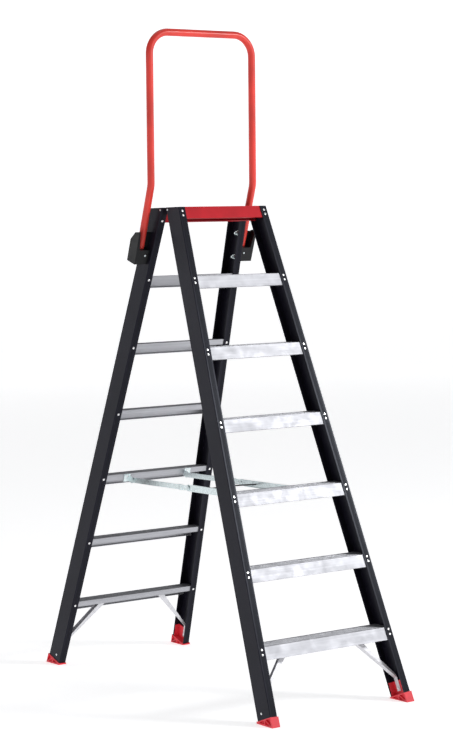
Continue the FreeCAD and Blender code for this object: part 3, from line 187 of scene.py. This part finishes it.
class Shading:
    """A material under construction, with short ways to add and join its nodes."""

    def __init__(self, name: str) -> None:
        """Start an empty material that holds one principled shader.

        Args:
            name: Name of the material.
        """
        self.material = bpy.data.materials.new(name)
        self.material.use_nodes = True
        self.tree = self.material.node_tree
        self.shader = self.tree.nodes["Principled BSDF"]
        self.place = self.tree.nodes.new("ShaderNodeTexCoord").outputs["Object"]

    def part_of(self, vector: bpy.types.NodeSocket, axis: str) -> bpy.types.NodeSocket:
        """One axis, X, Y or Z, of a vector socket."""
        split = self.tree.nodes.new("ShaderNodeSeparateXYZ")
        self.tree.links.new(vector, split.inputs["Vector"])
        return split.outputs[axis]

    def computed(self, operation: str, first: bpy.types.NodeSocket,
                 second: bpy.types.NodeSocket | float = 0.0) -> bpy.types.NodeSocket:
        """A math node's result.

        Args:
            operation: Name of the node's operation.
            first: The field that it works on.
            second: Another field, or a number.

        Returns:
            The result's socket.
        """
        node = self.tree.nodes.new("ShaderNodeMath")
        node.operation = operation
        self.tree.links.new(first, node.inputs[0])
        if isinstance(second, float):
            node.inputs[1].default_value = second
        else:
            self.tree.links.new(second, node.inputs[1])
        return node.outputs["Value"]

    def normal(self, axis: str) -> bpy.types.NodeSocket:
        """One axis of the surface's normal at rest."""
        coordinates = self.tree.nodes.new("ShaderNodeTexCoord")
        return self.part_of(coordinates.outputs["Normal"], axis)

    def upward(self) -> bpy.types.NodeSocket:
        """1 on faces that look straight up at rest, falling to 0 at a slope of 35 degrees."""
        return self.ranged(self.normal("Z"), 0.0, 1.0, 0.82, 0.95)

    def sawn(self) -> bpy.types.NodeSocket:
        """1 on the end faces that look along X at rest, and 0 elsewhere."""
        return self.ranged(self.computed("ABSOLUTE", self.normal("X")), 0.0, 1.0, 0.93, 0.97)

    def mixed(self, factor: bpy.types.NodeSocket, first: bpy.types.NodeSocket,
              second: bpy.types.NodeSocket) -> bpy.types.NodeSocket:
        """The first colour where the factor is 0, and the second where it is 1."""
        node = self.tree.nodes.new("ShaderNodeMix")
        node.data_type = "RGBA"
        self.tree.links.new(factor, node.inputs[0])
        self.tree.links.new(first, node.inputs[6])
        self.tree.links.new(second, node.inputs[7])
        return node.outputs[2]

    def set(self, socket: str, value: float | tuple[float, ...]) -> None:
        """Set one of the shader's own sockets."""
        self.shader.inputs[socket].default_value = value

    def join(self, source: bpy.types.NodeSocket, socket: str) -> None:
        """Lead a node's output into one of the shader's sockets."""
        self.tree.links.new(source, self.shader.inputs[socket])

    def mapped(self, scale: tuple[float, float, float], turn: float = 0.0) -> bpy.types.NodeSocket:
        """Object coordinates, turned about Y and then scaled.

        Args:
            scale: Scale along the three axes.
            turn: Turn about Y in degrees.

        Returns:
            The socket with the new coordinates.
        """
        source = self.place
        if turn:
            turning = self.tree.nodes.new("ShaderNodeMapping")
            turning.inputs["Rotation"].default_value = (0.0, math.radians(turn), 0.0)
            self.tree.links.new(source, turning.inputs["Vector"])
            source = turning.outputs["Vector"]
        mapping = self.tree.nodes.new("ShaderNodeMapping")
        mapping.inputs["Scale"].default_value = scale
        self.tree.links.new(source, mapping.inputs["Vector"])
        return mapping.outputs["Vector"]

    def noise(self, scale: float, detail: float = 3.0, rough: float = 0.55,
              place: bpy.types.NodeSocket | None = None) -> bpy.types.NodeSocket:
        """A noise field from 0 to 1.

        Args:
            scale: Features per metre, roughly.
            detail: Octaves.
            rough: Weight of the finer octaves.
            place: Coordinates, or None for plain object coordinates.

        Returns:
            The field's socket.
        """
        node = self.tree.nodes.new("ShaderNodeTexNoise")
        node.inputs["Scale"].default_value = scale
        node.inputs["Detail"].default_value = detail
        node.inputs["Roughness"].default_value = rough
        self.tree.links.new(place or self.place, node.inputs["Vector"])
        return node.outputs["Fac"]

    def cells(self, scale: float) -> bpy.types.NodeSocket:
        """Flat cells, each with its own random grey, for crystals in a plating."""
        node = self.tree.nodes.new("ShaderNodeTexVoronoi")
        node.inputs["Scale"].default_value = scale
        self.tree.links.new(self.place, node.inputs["Vector"])
        grey = self.tree.nodes.new("ShaderNodeRGBToBW")
        self.tree.links.new(node.outputs["Color"], grey.inputs["Color"])
        return grey.outputs["Val"]

    def ranged(self, source: bpy.types.NodeSocket, low: float, high: float,
               start: float = 0.3, end: float = 0.7) -> bpy.types.NodeSocket:
        """A field stretched from start..end to low..high and held inside that range."""
        node = self.tree.nodes.new("ShaderNodeMapRange")
        for name, value in (("From Min", start), ("From Max", end), ("To Min", low),
                            ("To Max", high)):
            node.inputs[name].default_value = value
        self.tree.links.new(source, node.inputs["Value"])
        return node.outputs["Result"]

    def blended(self, source: bpy.types.NodeSocket, first: Colour, second: Colour,
                start: float = 0.35, end: float = 0.65) -> bpy.types.NodeSocket:
        """A colour that runs from first to second as the field rises from start to end."""
        node = self.tree.nodes.new("ShaderNodeValToRGB")
        node.color_ramp.elements[0].position = start
        node.color_ramp.elements[0].color = (*first, 1.0)
        node.color_ramp.elements[1].position = end
        node.color_ramp.elements[1].color = (*second, 1.0)
        self.tree.links.new(source, node.inputs["Fac"])
        return node.outputs["Color"]

    def sum(self, first: bpy.types.NodeSocket, second: bpy.types.NodeSocket,
            weight: float) -> bpy.types.NodeSocket:
        """The first field plus weight times the second."""
        node = self.tree.nodes.new("ShaderNodeMath")
        node.operation = "MULTIPLY_ADD"
        self.tree.links.new(second, node.inputs[0])
        node.inputs[1].default_value = weight
        self.tree.links.new(first, node.inputs[2])
        return node.outputs["Value"]

    def relief(self, height: bpy.types.NodeSocket, strength: float, depth: float) -> None:
        """Lead a height field into the shader's normal.

        Args:
            height: The field.
            strength: Share of the full bump.
            depth: Height in metres of a full step of the field.
        """
        node = self.tree.nodes.new("ShaderNodeBump")
        node.inputs["Strength"].default_value = strength
        node.inputs["Distance"].default_value = depth
        self.tree.links.new(height, node.inputs["Height"])
        self.join(node.outputs["Normal"], "Normal")


def lightened(colour: Colour, factor: float) -> Colour:
    """A colour with each channel multiplied and held below 1."""
    return tuple(min(channel * factor, 1.0) for channel in colour)


# ---------------------------------------------------------------- finishes


@dataclass(frozen=True)
class PowderCoat:
    """Satin paint baked from powder: a soft orange peel, and colour that varies very slightly."""

    name: str
    colour: Colour
    roughness: float = 0.42
    peel: float = 620.0
    specular: float = 0.5
    coat: float = 0.0
    coat_roughness: float = 0.12
    peel_strength: float = 0.2
    peel_depth: float = 0.0001

    def speck(self, shading: Shading) -> bpy.types.NodeSocket:
        """The finest grain of the baked powder."""
        return shading.noise(self.peel * 4.5, 2.0, 0.7)

    def paint(self, shading: Shading, speck: bpy.types.NodeSocket) -> bpy.types.NodeSocket:
        """The paint's colour, which drifts slightly over a broad area and from grain to grain."""
        broad = shading.noise(7.0, 4.0)
        return shading.blended(shading.sum(broad, speck, 0.25), lightened(self.colour, 0.86),
                               lightened(self.colour, 1.16), 0.5, 0.78)

    def gloss(self, shading: Shading, speck: bpy.types.NodeSocket) -> bpy.types.NodeSocket:
        """The paint's roughness, a little different from grain to grain."""
        return shading.ranged(speck, self.roughness - 0.06, self.roughness + 0.07)

    def skin(self, shading: Shading, speck: bpy.types.NodeSocket) -> bpy.types.NodeSocket:
        """Height of the orange peel."""
        return shading.sum(shading.noise(self.peel, 2.0, 0.4), speck, 0.25)

    def build(self) -> bpy.types.Material:
        """Make the material.

        Returns:
            The finished material.
        """
        shading = Shading(self.name)
        speck = self.speck(shading)
        shading.join(self.paint(shading, speck), "Base Color")
        shading.join(self.gloss(shading, speck), "Roughness")
        shading.set("Specular IOR Level", self.specular)
        shading.set("Coat Weight", self.coat)
        shading.set("Coat Roughness", self.coat_roughness)
        shading.relief(self.skin(shading, speck), self.peel_strength, self.peel_depth)
        return shading.material


@dataclass(frozen=True)
class StileCoat(PowderCoat):
    """Charcoal powder coat on the stiles, with a finely ribbed band along the rivet line, painted
    darker in stripes along its ribs as shade.
    """

    sizes: LadderSizes = LadderSizes()
    tint: Colour = (0.80, 0.87, 1.0)
    band_half: float = 0.0050
    band_edge: float = 0.0006
    band_roughness: float = 0.07
    rib_pitch: float = 0.0009
    rib_height: float = 2.2

    def across(self, shading: Shading) -> bpy.types.NodeSocket:
        """Signed distance from the rivet line of a stile's flange, in metres."""
        out = shading.computed("ABSOLUTE", shading.part_of(shading.place, "X"))
        height = shading.part_of(shading.place, "Z")
        brought_down = shading.sum(out, height, self.sizes.narrowing)
        return shading.computed("SUBTRACT", brought_down, self.sizes.rivet_across(0.0))

    def build(self) -> bpy.types.Material:
        """Make the material.

        Returns:
            The finished material.
        """
        shading = Shading(self.name)
        across = self.across(shading)
        band = shading.ranged(shading.computed("ABSOLUTE", across), 1.0, 0.0, self.band_half,
                              self.band_half + self.band_edge)
        wave = shading.computed("PINGPONG", across, self.rib_pitch / 2)
        everywhere = shading.ranged(wave, 0.0, 1.0, 0.0, self.rib_pitch / 2)
        ribs = shading.computed("MULTIPLY", everywhere, band)
        speck = self.speck(shading)
        # Painted shade on the ribs: inside the band the colour darkens with the rib field, from
        # 0.9 down to 0.35 of the coat's.
        rib_shade_colour = shading.blended(ribs, lightened(self.colour, 0.9),
                                 lightened(self.colour, 0.35), 0.2, 0.8)
        shading.join(shading.mixed(band, self.paint(shading, speck), rib_shade_colour), "Base Color")
        shading.join(shading.sum(self.gloss(shading, speck), band, self.band_roughness),
                     "Roughness")
        shading.set("Specular IOR Level", self.specular)
        shading.set("Specular Tint", (*self.tint, 1.0))
        shading.relief(shading.sum(self.skin(shading, speck), ribs, self.rib_height),
                       self.peel_strength, self.peel_depth)
        return shading.material


@dataclass(frozen=True)
class DrawnAluminium:
    """Mill-finish extrusion: die lines along its run, faint bands, a few dull patches, and painted
    shade that darkens the faces which look up.
    """

    name: str
    colour: Colour
    grain: Grain = Grain.ALONG_X
    roughness: float = 0.42
    metallic: float = 0.8
    trodden: float = 1.0
    trodden_metallic: float = 0.1
    specular: float = 0.5
    trodden_specular: float = 0.05

    def build(self) -> bpy.types.Material:
        """Make the material.

        Returns:
            The finished material.
        """
        shading = Shading(self.name)
        lines = shading.noise(1.0, 4.0, 0.6, shading.mapped((5.0, 2200.0, 2200.0),
                                                            self.grain.value))
        bands = shading.noise(1.0, 2.0, 0.5, shading.mapped((1.5, 160.0, 160.0),
                                                            self.grain.value))
        patches = shading.noise(26.0, 5.0, 0.6)
        tone = shading.sum(bands, lines, 0.35)
        drawn = shading.blended(tone, lightened(self.colour, 0.88), self.colour, 0.5, 0.85)
        # Faces that look up take painted shade: their colour is scaled down by the top shade
        # factor and mottled by the dull patches.
        shaded_top_patches = shading.blended(shading.sum(tone, patches, 0.5),
                                 lightened(self.colour, 0.8 * self.trodden),
                                 lightened(self.colour, self.trodden), 0.6, 1.2)
        top = shading.upward()
        shading.join(shading.mixed(top, drawn, shaded_top_patches), "Base Color")
        shading.join(shading.ranged(top, self.metallic, self.trodden_metallic, 0.0, 1.0),
                     "Metallic")
        shading.join(shading.ranged(top, self.specular, self.trodden_specular, 0.0, 1.0),
                     "Specular IOR Level")
        worn = shading.sum(lines, patches, 0.9)
        shading.join(shading.ranged(worn, self.roughness - 0.08, self.roughness + 0.12, 0.7, 1.25),
                     "Roughness")
        shading.relief(lines, 0.3, 0.00006)
        return shading.material


@dataclass(frozen=True)
class AnodisedRed:
    """The platform's red: paint over extruded aluminium, die lines showing, sawn ends paler."""

    name: str
    colour: Colour
    roughness: float = 0.38
    metallic: float = 0.35
    specular: float = 0.22
    sawn_end: Colour = (0.62, 0.24, 0.27)

    def build(self) -> bpy.types.Material:
        """Make the material.

        Returns:
            The finished material.
        """
        shading = Shading(self.name)
        lines = shading.noise(1.0, 4.0, 0.6, shading.mapped((4.0, 1500.0, 1500.0)))
        mottle = shading.noise(11.0, 4.0)
        painted = shading.blended(shading.sum(mottle, lines, 0.4),
                                  lightened(self.colour, 0.84),
                                  lightened(self.colour, 1.12), 0.5, 0.85)
        bare = shading.blended(mottle, self.sawn_end, lightened(self.sawn_end, 1.2))
        shading.join(shading.mixed(shading.sawn(), painted, bare), "Base Color")
        shading.join(shading.ranged(lines, self.roughness - 0.05, self.roughness + 0.1),
                     "Roughness")
        shading.set("Metallic", self.metallic)
        shading.set("Specular IOR Level", self.specular)
        shading.relief(lines, 0.28, 0.00007)
        return shading.material


@dataclass(frozen=True)
class ZincPlate:
    """Blue-bright zinc on steel: small crystals of slightly different grey, and fine scratches."""

    name: str
    colour: Colour
    crystal: float = 330.0

    def build(self) -> bpy.types.Material:
        """Make the material.

        Returns:
            The finished material.
        """
        shading = Shading(self.name)
        crystals = shading.cells(self.crystal)
        cloud = shading.noise(40.0, 4.0, 0.6)
        scratches = shading.noise(1.0, 3.0, 0.6, shading.mapped((900.0, 30.0, 900.0)))
        shading.join(shading.blended(shading.sum(crystals, cloud, 0.7),
                                     lightened(self.colour, 0.8),
                                     lightened(self.colour, 1.12), 0.35, 1.2), "Base Color")
        shading.join(shading.ranged(shading.sum(cloud, scratches, 0.6), 0.2, 0.42, 0.5, 1.05),
                     "Roughness")
        shading.set("Metallic", 1.0)
        shading.relief(shading.sum(scratches, crystals, 0.25), 0.2, 0.00005)
        return shading.material


@dataclass(frozen=True)
class BrightRivet:
    """Bright aluminium fastener heads, with the faint marks that a setting tool leaves."""

    name: str
    colour: Colour
    roughness: float = 0.24
    metallic: float = 0.9

    def build(self) -> bpy.types.Material:
        """Make the material.

        Returns:
            The finished material.
        """
        shading = Shading(self.name)
        marks = shading.noise(900.0, 3.0, 0.6)
        shading.join(shading.blended(marks, lightened(self.colour, 0.85), self.colour),
                     "Base Color")
        shading.join(shading.ranged(marks, self.roughness - 0.06, self.roughness + 0.1),
                     "Roughness")
        shading.set("Metallic", self.metallic)
        shading.relief(marks, 0.2, 0.00008)
        return shading.material


@dataclass(frozen=True)
class MouldedPlastic:
    """Moulded plastic with a fine spark-eroded grain, paler where the mould was polished."""

    name: str
    colour: Colour
    roughness: float = 0.46
    specular: float = 0.5
    grain: float = 1500.0

    def build(self) -> bpy.types.Material:
        """Make the material.

        Returns:
            The finished material.
        """
        shading = Shading(self.name)
        grain = shading.noise(self.grain, 3.0, 0.6)
        flow = shading.noise(24.0, 4.0, 0.55)
        shading.join(shading.blended(shading.sum(flow, grain, 0.2),
                                     lightened(self.colour, 0.86),
                                     lightened(self.colour, 1.15), 0.42, 0.75), "Base Color")
        shading.join(shading.ranged(flow, self.roughness - 0.07, self.roughness + 0.08),
                     "Roughness")
        shading.set("Specular IOR Level", self.specular)
        shading.relief(grain, 0.35, 0.00009)
        return shading.material


@dataclass(frozen=True)
class StudioPaper:
    """The pale matt sweep that the ladder stands on."""

    name: str = "studio_paper"
    colour: Colour = (0.86, 0.86, 0.87)
    roughness: float = 0.9
    specular: float = 0.1
    glow: float = 0.63

    def build(self) -> bpy.types.Material:
        """Make the material.

        Returns:
            The finished material.
        """
        shading = Shading(self.name)
        fibre = shading.noise(260.0, 3.0)
        shading.join(shading.blended(fibre, lightened(self.colour, 0.99), self.colour),
                     "Base Color")
        shading.set("Roughness", self.roughness)
        shading.set("Specular IOR Level", self.specular)
        shading.set("Emission Color", (1.0, 1.0, 1.0, 1.0))
        shading.set("Emission Strength", self.glow)
        return shading.material


@dataclass
class Palette:
    """Every finish of the ladder by its material slot, each made into a material once."""

    stile_coat: StileCoat = StileCoat(
        "charcoal_coat", (0.0098, 0.0088, 0.0150), 0.32, 700.0, 0.15)
    # The treads' upward faces are painted at about half brightness, as shade.
    tread_aluminium: DrawnAluminium = DrawnAluminium(
        "tread_aluminium", (0.465, 0.47, 0.50), roughness=0.5, trodden=0.5)
    brace_rising_right: DrawnAluminium = DrawnAluminium(
        "brace_aluminium_right", (0.74, 0.74, 0.77), Grain.RISING_RIGHT, 0.5, 0.55)
    brace_rising_left: DrawnAluminium = DrawnAluminium(
        "brace_aluminium_left", (0.74, 0.74, 0.77), Grain.RISING_LEFT, 0.5, 0.55)
    rivet_aluminium: BrightRivet = BrightRivet("rivet_aluminium", (0.93, 0.93, 0.94))
    red_coat: AnodisedRed = AnodisedRed("platform_red", (0.42, 0.010, 0.018))
    red_hoop: PowderCoat = PowderCoat("hoop_red", (0.72, 0.045, 0.032), 0.34, 520.0, 0.35, 0.15)
    red_plastic: MouldedPlastic = MouldedPlastic("foot_red", (0.78, 0.035, 0.055))
    black_plastic: MouldedPlastic = MouldedPlastic(
        "socket_black", (0.0045, 0.0047, 0.0062), 0.4, 0.28)
    zinc_steel: ZincPlate = ZincPlate("zinc_plate", (0.70, 0.78, 0.79))
    dark_rod: PowderCoat = PowderCoat("rod_black", (0.02, 0.02, 0.022), 0.38, 900.0)
    made: dict[str, bpy.types.Material] = field(default_factory=dict)

    def material(self, slot: str) -> bpy.types.Material:
        """The material of a slot, made on first use."""
        if slot not in self.made:
            self.made[slot] = getattr(self, slot).build()
        return self.made[slot]

    def slot_of(self, node: str, slot: str) -> str:
        """The finish for one node: braces take the grain that runs along them."""
        if slot != "brace_aluminium":
            return slot
        rising_right = node in ("front_brace_left", "rear_brace_left")
        return "brace_rising_right" if rising_right else "brace_rising_left"

    def dress_frame(self, frame: dict) -> None:
        """Give every piece of the frame its finish.

        Args:
            frame: What the frame's loader returned.
        """
        slots = {part["node"]: part["material_slot"] for part in frame["record"]["subparts"]}
        for node, thing in frame["nodes"].items():
            material = self.material(self.slot_of(node, slots[node]))
            thing.data.materials.clear()
            thing.data.materials.append(material)
            LOG.info("dressed %s with %s", node, material.name)


# ---------------------------------------------------------------- modelling tools


def clear_selection() -> None:
    """Deselect every object, so that an operator acts only on what is made next."""
    for thing in bpy.context.selected_objects:
        thing.select_set(False)
    bpy.context.view_layer.objects.active = None


def start_piece(name: str) -> bpy.types.Object:
    """Name the primitive that was just added and return it."""
    piece = bpy.context.active_object
    piece.name = name
    piece.data.name = name
    return piece


def select_only(piece: bpy.types.Object) -> None:
    """Select one piece, and nothing else, and make it active."""
    clear_selection()
    piece.select_set(True)
    bpy.context.view_layer.objects.active = piece


def select_faces(piece: bpy.types.Object, wanted: Callable[[bmesh.types.BMFace], bool]) -> None:
    """Select, in edit mode, exactly the faces that pass a test."""
    mesh = bmesh.from_edit_mesh(piece.data)
    for face in mesh.faces:
        face.select_set(wanted(face))
    bmesh.update_edit_mesh(piece.data)


def looks_up(face: bmesh.types.BMFace) -> bool:
    """Whether a face is the top of an upright primitive."""
    return face.normal.z > 0.9


def apply_place(piece: bpy.types.Object) -> None:
    """Move the object's place, turn and scale into its mesh."""
    select_only(piece)
    bpy.ops.object.transform_apply(location=True, rotation=True, scale=True)


def apply_modifiers(piece: bpy.types.Object) -> None:
    """Apply every modifier of the piece, in order."""
    select_only(piece)
    for modifier in list(piece.modifiers):
        bpy.ops.object.modifier_apply(modifier=modifier.name)


def bevelled(piece: bpy.types.Object, width: float, segments: int = 2) -> None:
    """Round the piece's sharp edges with an applied bevel."""
    modifier = piece.modifiers.new("bevel", "BEVEL")
    modifier.width = width
    modifier.segments = segments
    modifier.limit_method = "ANGLE"
    modifier.angle_limit = math.radians(35)
    apply_modifiers(piece)


def smoothed(piece: bpy.types.Object, degrees: float = 40.0) -> None:
    """Shade the piece smooth except across edges sharper than an angle."""
    select_only(piece)
    bpy.ops.object.shade_smooth_by_angle(angle=math.radians(degrees))


def spread(master: bpy.types.Object, name: str, places: list[Matrix]) -> bpy.types.Object:
    """Copy a finished mesh to each place and join the copies into one piece.

    Args:
        master: The finished mesh, which is removed afterwards.
        name: Name of the joined piece.
        places: Where each copy goes, as matrices.

    Returns:
        The joined piece, with its object at the origin.
    """
    apply_place(master)
    copies = []
    for index, place in enumerate(places):
        copy = master.copy()
        copy.data = master.data.copy()
        copy.name = f"{name}_{index}"
        copy.data.transform(place)
        bpy.context.collection.objects.link(copy)
        copies.append(copy)
    bpy.data.objects.remove(master, do_unlink=True)
    clear_selection()
    for copy in copies:
        copy.select_set(True)
    bpy.context.view_layer.objects.active = copies[0]
    if len(copies) > 1:
        bpy.ops.object.join()
    piece = start_piece(name)
    apply_place(piece)
    return piece


def finish_piece(piece: bpy.types.Object, body: str, slot: str, palette: Palette) -> None:
    """Give a new piece its finish, its body and its slot, and report it.

    Args:
        piece: The finished mesh.
        body: Name of the body that it rides on.
        slot: The record's material slot that it takes its finish from.
        palette: The ladder's finishes.
    """
    smoothed(piece)
    piece.data.materials.clear()
    piece.data.materials.append(palette.material(slot))
    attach(piece, body)
    LOG.info("made %s on %s with %d faces", piece.name, body, len(piece.data.polygons))


# ---------------------------------------------------------------- sub-assemblies


@dataclass
class RivetStems:
    """The broken stems that stay in the middle of the blind rivets' heads."""

    sizes: LadderSizes
    palette: Palette
    radius: float = 0.00125
    stand: float = 0.0005

    def master(self) -> bpy.types.Object:
        """One stem: a short peg with a rim of rolled metal round it."""
        clear_selection()
        bpy.ops.mesh.primitive_cylinder_add(vertices=12, radius=self.radius,
                                            depth=self.stand * 2, location=(0.0, 0.0, 0.0))
        stem = start_piece("stem_master")
        bpy.ops.object.mode_set(mode="EDIT")
        select_faces(stem, looks_up)
        bpy.ops.mesh.inset(thickness=self.radius * 0.3)
        bpy.ops.transform.translate(value=(0.0, 0.0, -self.stand * 0.5))
        bpy.ops.mesh.inset(thickness=self.radius * 0.25)
        bpy.ops.transform.translate(value=(0.0, 0.0, self.stand * 0.7))
        bpy.ops.object.mode_set(mode="OBJECT")
        return stem

    def build(self) -> None:
        """Make the stems of both halves."""
        for half in Half:
            name = f"{half.name.lower()}_rivet_stems"
            piece = spread(self.master(), name, self.sizes.tread_rivets(half))
            finish_piece(piece, half.body, "rivet_aluminium", self.palette)


@dataclass
class SpreaderFittings:
    """The peened ends of the spreader's pins, and the clips folded round its rear links."""

    sizes: LadderSizes
    palette: Palette
    front_link_outer: float = 0.1125
    rear_link_inner: float = 0.113
    rear_link_outer: float = 0.116
    rear_link_height: float = 0.018
    pin_radius: float = 0.0046
    pin_stand: float = 0.0011
    clip_wall: float = 0.0012
    clip_near: float = 0.030
    clip_far: float = 0.052

    def pin_end(self) -> bpy.types.Object:
        """One peened pin end: a low rounded button with the punch's ring in it."""
        clear_selection()
        bpy.ops.mesh.primitive_cylinder_add(
            vertices=24, radius=self.pin_radius, depth=self.pin_stand,
            location=(0.0, 0.0, self.pin_stand / 2))
        button = start_piece("pin_end_master")
        bpy.ops.object.mode_set(mode="EDIT")
        select_faces(button, looks_up)
        bpy.ops.mesh.inset(thickness=self.pin_radius * 0.42)
        bpy.ops.transform.translate(value=(0.0, 0.0, -self.pin_stand * 0.35))
        bpy.ops.mesh.inset(thickness=self.pin_radius * 0.14)
        bpy.ops.transform.translate(value=(0.0, 0.0, self.pin_stand * 0.3))
        bpy.ops.object.mode_set(mode="OBJECT")
        bevelled(button, self.pin_stand * 0.35)
        return button

    def facing(self, x: float, y: float, way: int) -> Matrix:
        """Place of a pin end at a spot of the pivots' level, looking along +X or -X."""
        return (Matrix.Translation((x, y, self.sizes.spreader_pivot.z))
                @ Matrix.Rotation(math.radians(90 * way), 4, "Y"))

    def build_pin_ends(self) -> None:
        """Make the pin ends of the front links and of each rear link."""
        pivot = self.sizes.spreader_pivot
        front = [self.facing(side * self.front_link_outer, pivot.y, side) for side in (-1, 1)]
        piece = spread(self.pin_end(), "front_link_pin_ends", front)
        finish_piece(piece, "front_links", "zinc_steel", self.palette)
        for side, name in ((-1, "left"), (1, "right")):
            rear = [self.facing(side * self.rear_link_inner, -pivot.y, -side),
                    self.facing(side * self.rear_link_outer, 0.0, side)]
            piece = spread(self.pin_end(), f"rear_link_pin_ends_{name}", rear)
            finish_piece(piece, f"rear_link_{name}", "zinc_steel", self.palette)

    def build_clip(self, side: int, name: str) -> None:
        """A strip of sheet folded round three sides of a rear link.

        Args:
            side: -1 or 1, the side of the centre plane.
            name: The side's name.
        """
        wall, high = self.clip_wall, self.rear_link_height
        wide = self.rear_link_outer - self.rear_link_inner
        long = self.clip_far - self.clip_near
        centre = (side * (self.rear_link_inner + wide / 2), self.clip_near + long / 2,
                  self.sizes.spreader_pivot.z)
        clear_selection()
        bpy.ops.mesh.primitive_cube_add(size=1.0, location=centre, scale=(wide, long, high))
        clip = start_piece(f"rear_link_clip_{name}")
        apply_place(clip)
        bpy.ops.object.mode_set(mode="EDIT")
        bpy.ops.mesh.select_mode(type="FACE")
        select_faces(clip, lambda face: face.normal.x * side < -0.5 or abs(face.normal.y) > 0.5)
        bpy.ops.mesh.delete(type="FACE")
        bpy.ops.object.mode_set(mode="OBJECT")
        solid = clip.modifiers.new("wall", "SOLIDIFY")
        solid.thickness = wall
        solid.offset = 1.0
        solid.use_even_offset = True
        apply_modifiers(clip)
        bevelled(clip, wall * 0.3)
        finish_piece(clip, f"rear_link_{name}", "zinc_steel", self.palette)

    def build(self) -> None:
        """Make all the fittings of the spreader."""
        self.build_pin_ends()
        self.build_clip(-1, "left")
        self.build_clip(1, "right")


# ---------------------------------------------------------------- studio


@dataclass
class Studio:
    """A pale round sweep, soft lights and the camera."""

    target: tuple[float, float, float] = (0.067, 0.0088, 1.071)
    azimuth: float = -35.13
    elevation: float = 3.535
    roll: float = -1.48
    distance: float = 7.171
    lens: float = 100.3
    sweep_radius: float = 16.0
    rim_radius: float = 5.0
    rim_steps: int = 10
    air_strength: float = 0.27
    key_place: tuple[float, float, float] = (3.9, -4.8, 3.6)
    key_size: float = 1.5
    key_power: float = 175.0
    top_place: tuple[float, float, float] = (0.0, 0.5, 6.0)
    top_size: float = 4.0
    top_power: float = 30.0

    def build_sweep(self) -> None:
        """A floor that rises at its rim into a low round wall."""
        clear_selection()
        bpy.ops.mesh.primitive_circle_add(vertices=96, radius=self.sweep_radius,
                                          fill_type="NGON", location=(0.0, 0.0, 0.0))
        sweep = start_piece("studio_sweep")
        bpy.ops.object.mode_set(mode="EDIT")
        bpy.ops.mesh.select_mode(type="EDGE")
        bpy.ops.mesh.select_all(action="SELECT")
        reach = self.sweep_radius
        for step in range(self.rim_steps):
            before = math.radians(90 / self.rim_steps * step)
            angle = math.radians(90 / self.rim_steps * (step + 1))
            out = self.rim_radius * (math.sin(angle) - math.sin(before))
            up = self.rim_radius * (math.cos(before) - math.cos(angle))
            grown = (reach + out) / reach
            reach += out
            bpy.ops.mesh.extrude_edges_move(TRANSFORM_OT_translate={"value": (0.0, 0.0, up)})
            bpy.ops.transform.resize(value=(grown, grown, 1.0), center_override=(0.0, 0.0, 0.0))
        bpy.ops.object.mode_set(mode="OBJECT")
        smoothed(sweep, 60.0)
        sweep.data.materials.append(StudioPaper().build())

    def build_lights(self) -> None:
        """An even pale surround, a key light from the front right and a broad one above."""
        world = bpy.data.worlds.new("studio_air")
        world.use_nodes = True
        background = world.node_tree.nodes["Background"]
        background.inputs["Color"].default_value = (0.97, 0.98, 1.0, 1.0)
        background.inputs["Strength"].default_value = self.air_strength
        bpy.context.scene.world = world
        for name, place, size, power in (
                ("key", self.key_place, self.key_size, self.key_power),
                ("top", self.top_place, self.top_size, self.top_power)):
            clear_selection()
            bpy.ops.object.light_add(type="AREA", location=place)
            light = bpy.context.active_object
            light.name = f"studio_{name}"
            light.data.shape = "DISK"
            light.data.size = size
            light.data.energy = power
            aim = Vector((0.0, 0.0, 1.0)) - Vector(place)
            light.rotation_euler = aim.to_track_quat("-Z", "Y").to_euler()

    def build_camera(self) -> None:
        """Place the camera on its arc round the ladder, with its slight roll."""
        turn, up = math.radians(self.azimuth), math.radians(self.elevation)
        back = Vector((math.sin(turn) * math.cos(up), -math.cos(turn) * math.cos(up),
                       math.sin(up)))
        level = Vector((math.cos(turn), math.sin(turn), 0.0))
        above = back.cross(level)
        tilt = math.radians(self.roll)
        right = level * math.cos(tilt) + above * math.sin(tilt)
        top = above * math.cos(tilt) - level * math.sin(tilt)
        clear_selection()
        bpy.ops.object.camera_add()
        camera = bpy.context.active_object
        camera.name = "studio_camera"
        frame = Matrix((right, top, back)).transposed().to_4x4()
        place = Vector(self.target) + back * self.distance
        camera.matrix_world = Matrix.Translation(place) @ frame
        camera.data.sensor_fit = "AUTO"
        camera.data.sensor_width = 36.0
        camera.data.lens = self.lens
        camera.data.clip_end = 100.0
        bpy.context.scene.camera = camera

    def build(self) -> None:
        """Set up the whole studio."""
        self.build_sweep()
        self.build_lights()
        self.build_camera()
        bpy.context.scene.view_settings.view_transform = "Standard"


# ---------------------------------------------------------------- main


def main() -> None:
    """Load the frame, dress it, add the fittings and set up the studio."""
    logging.basicConfig(level=logging.INFO, format="%(name)s: %(message)s")
    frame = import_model()
    palette = Palette()
    palette.dress_frame(frame)
    sizes = LadderSizes()
    RivetStems(sizes, palette).build()
    SpreaderFittings(sizes, palette).build()
    Studio().build()
    clear_selection()


if __name__ == "__main__":
    main()
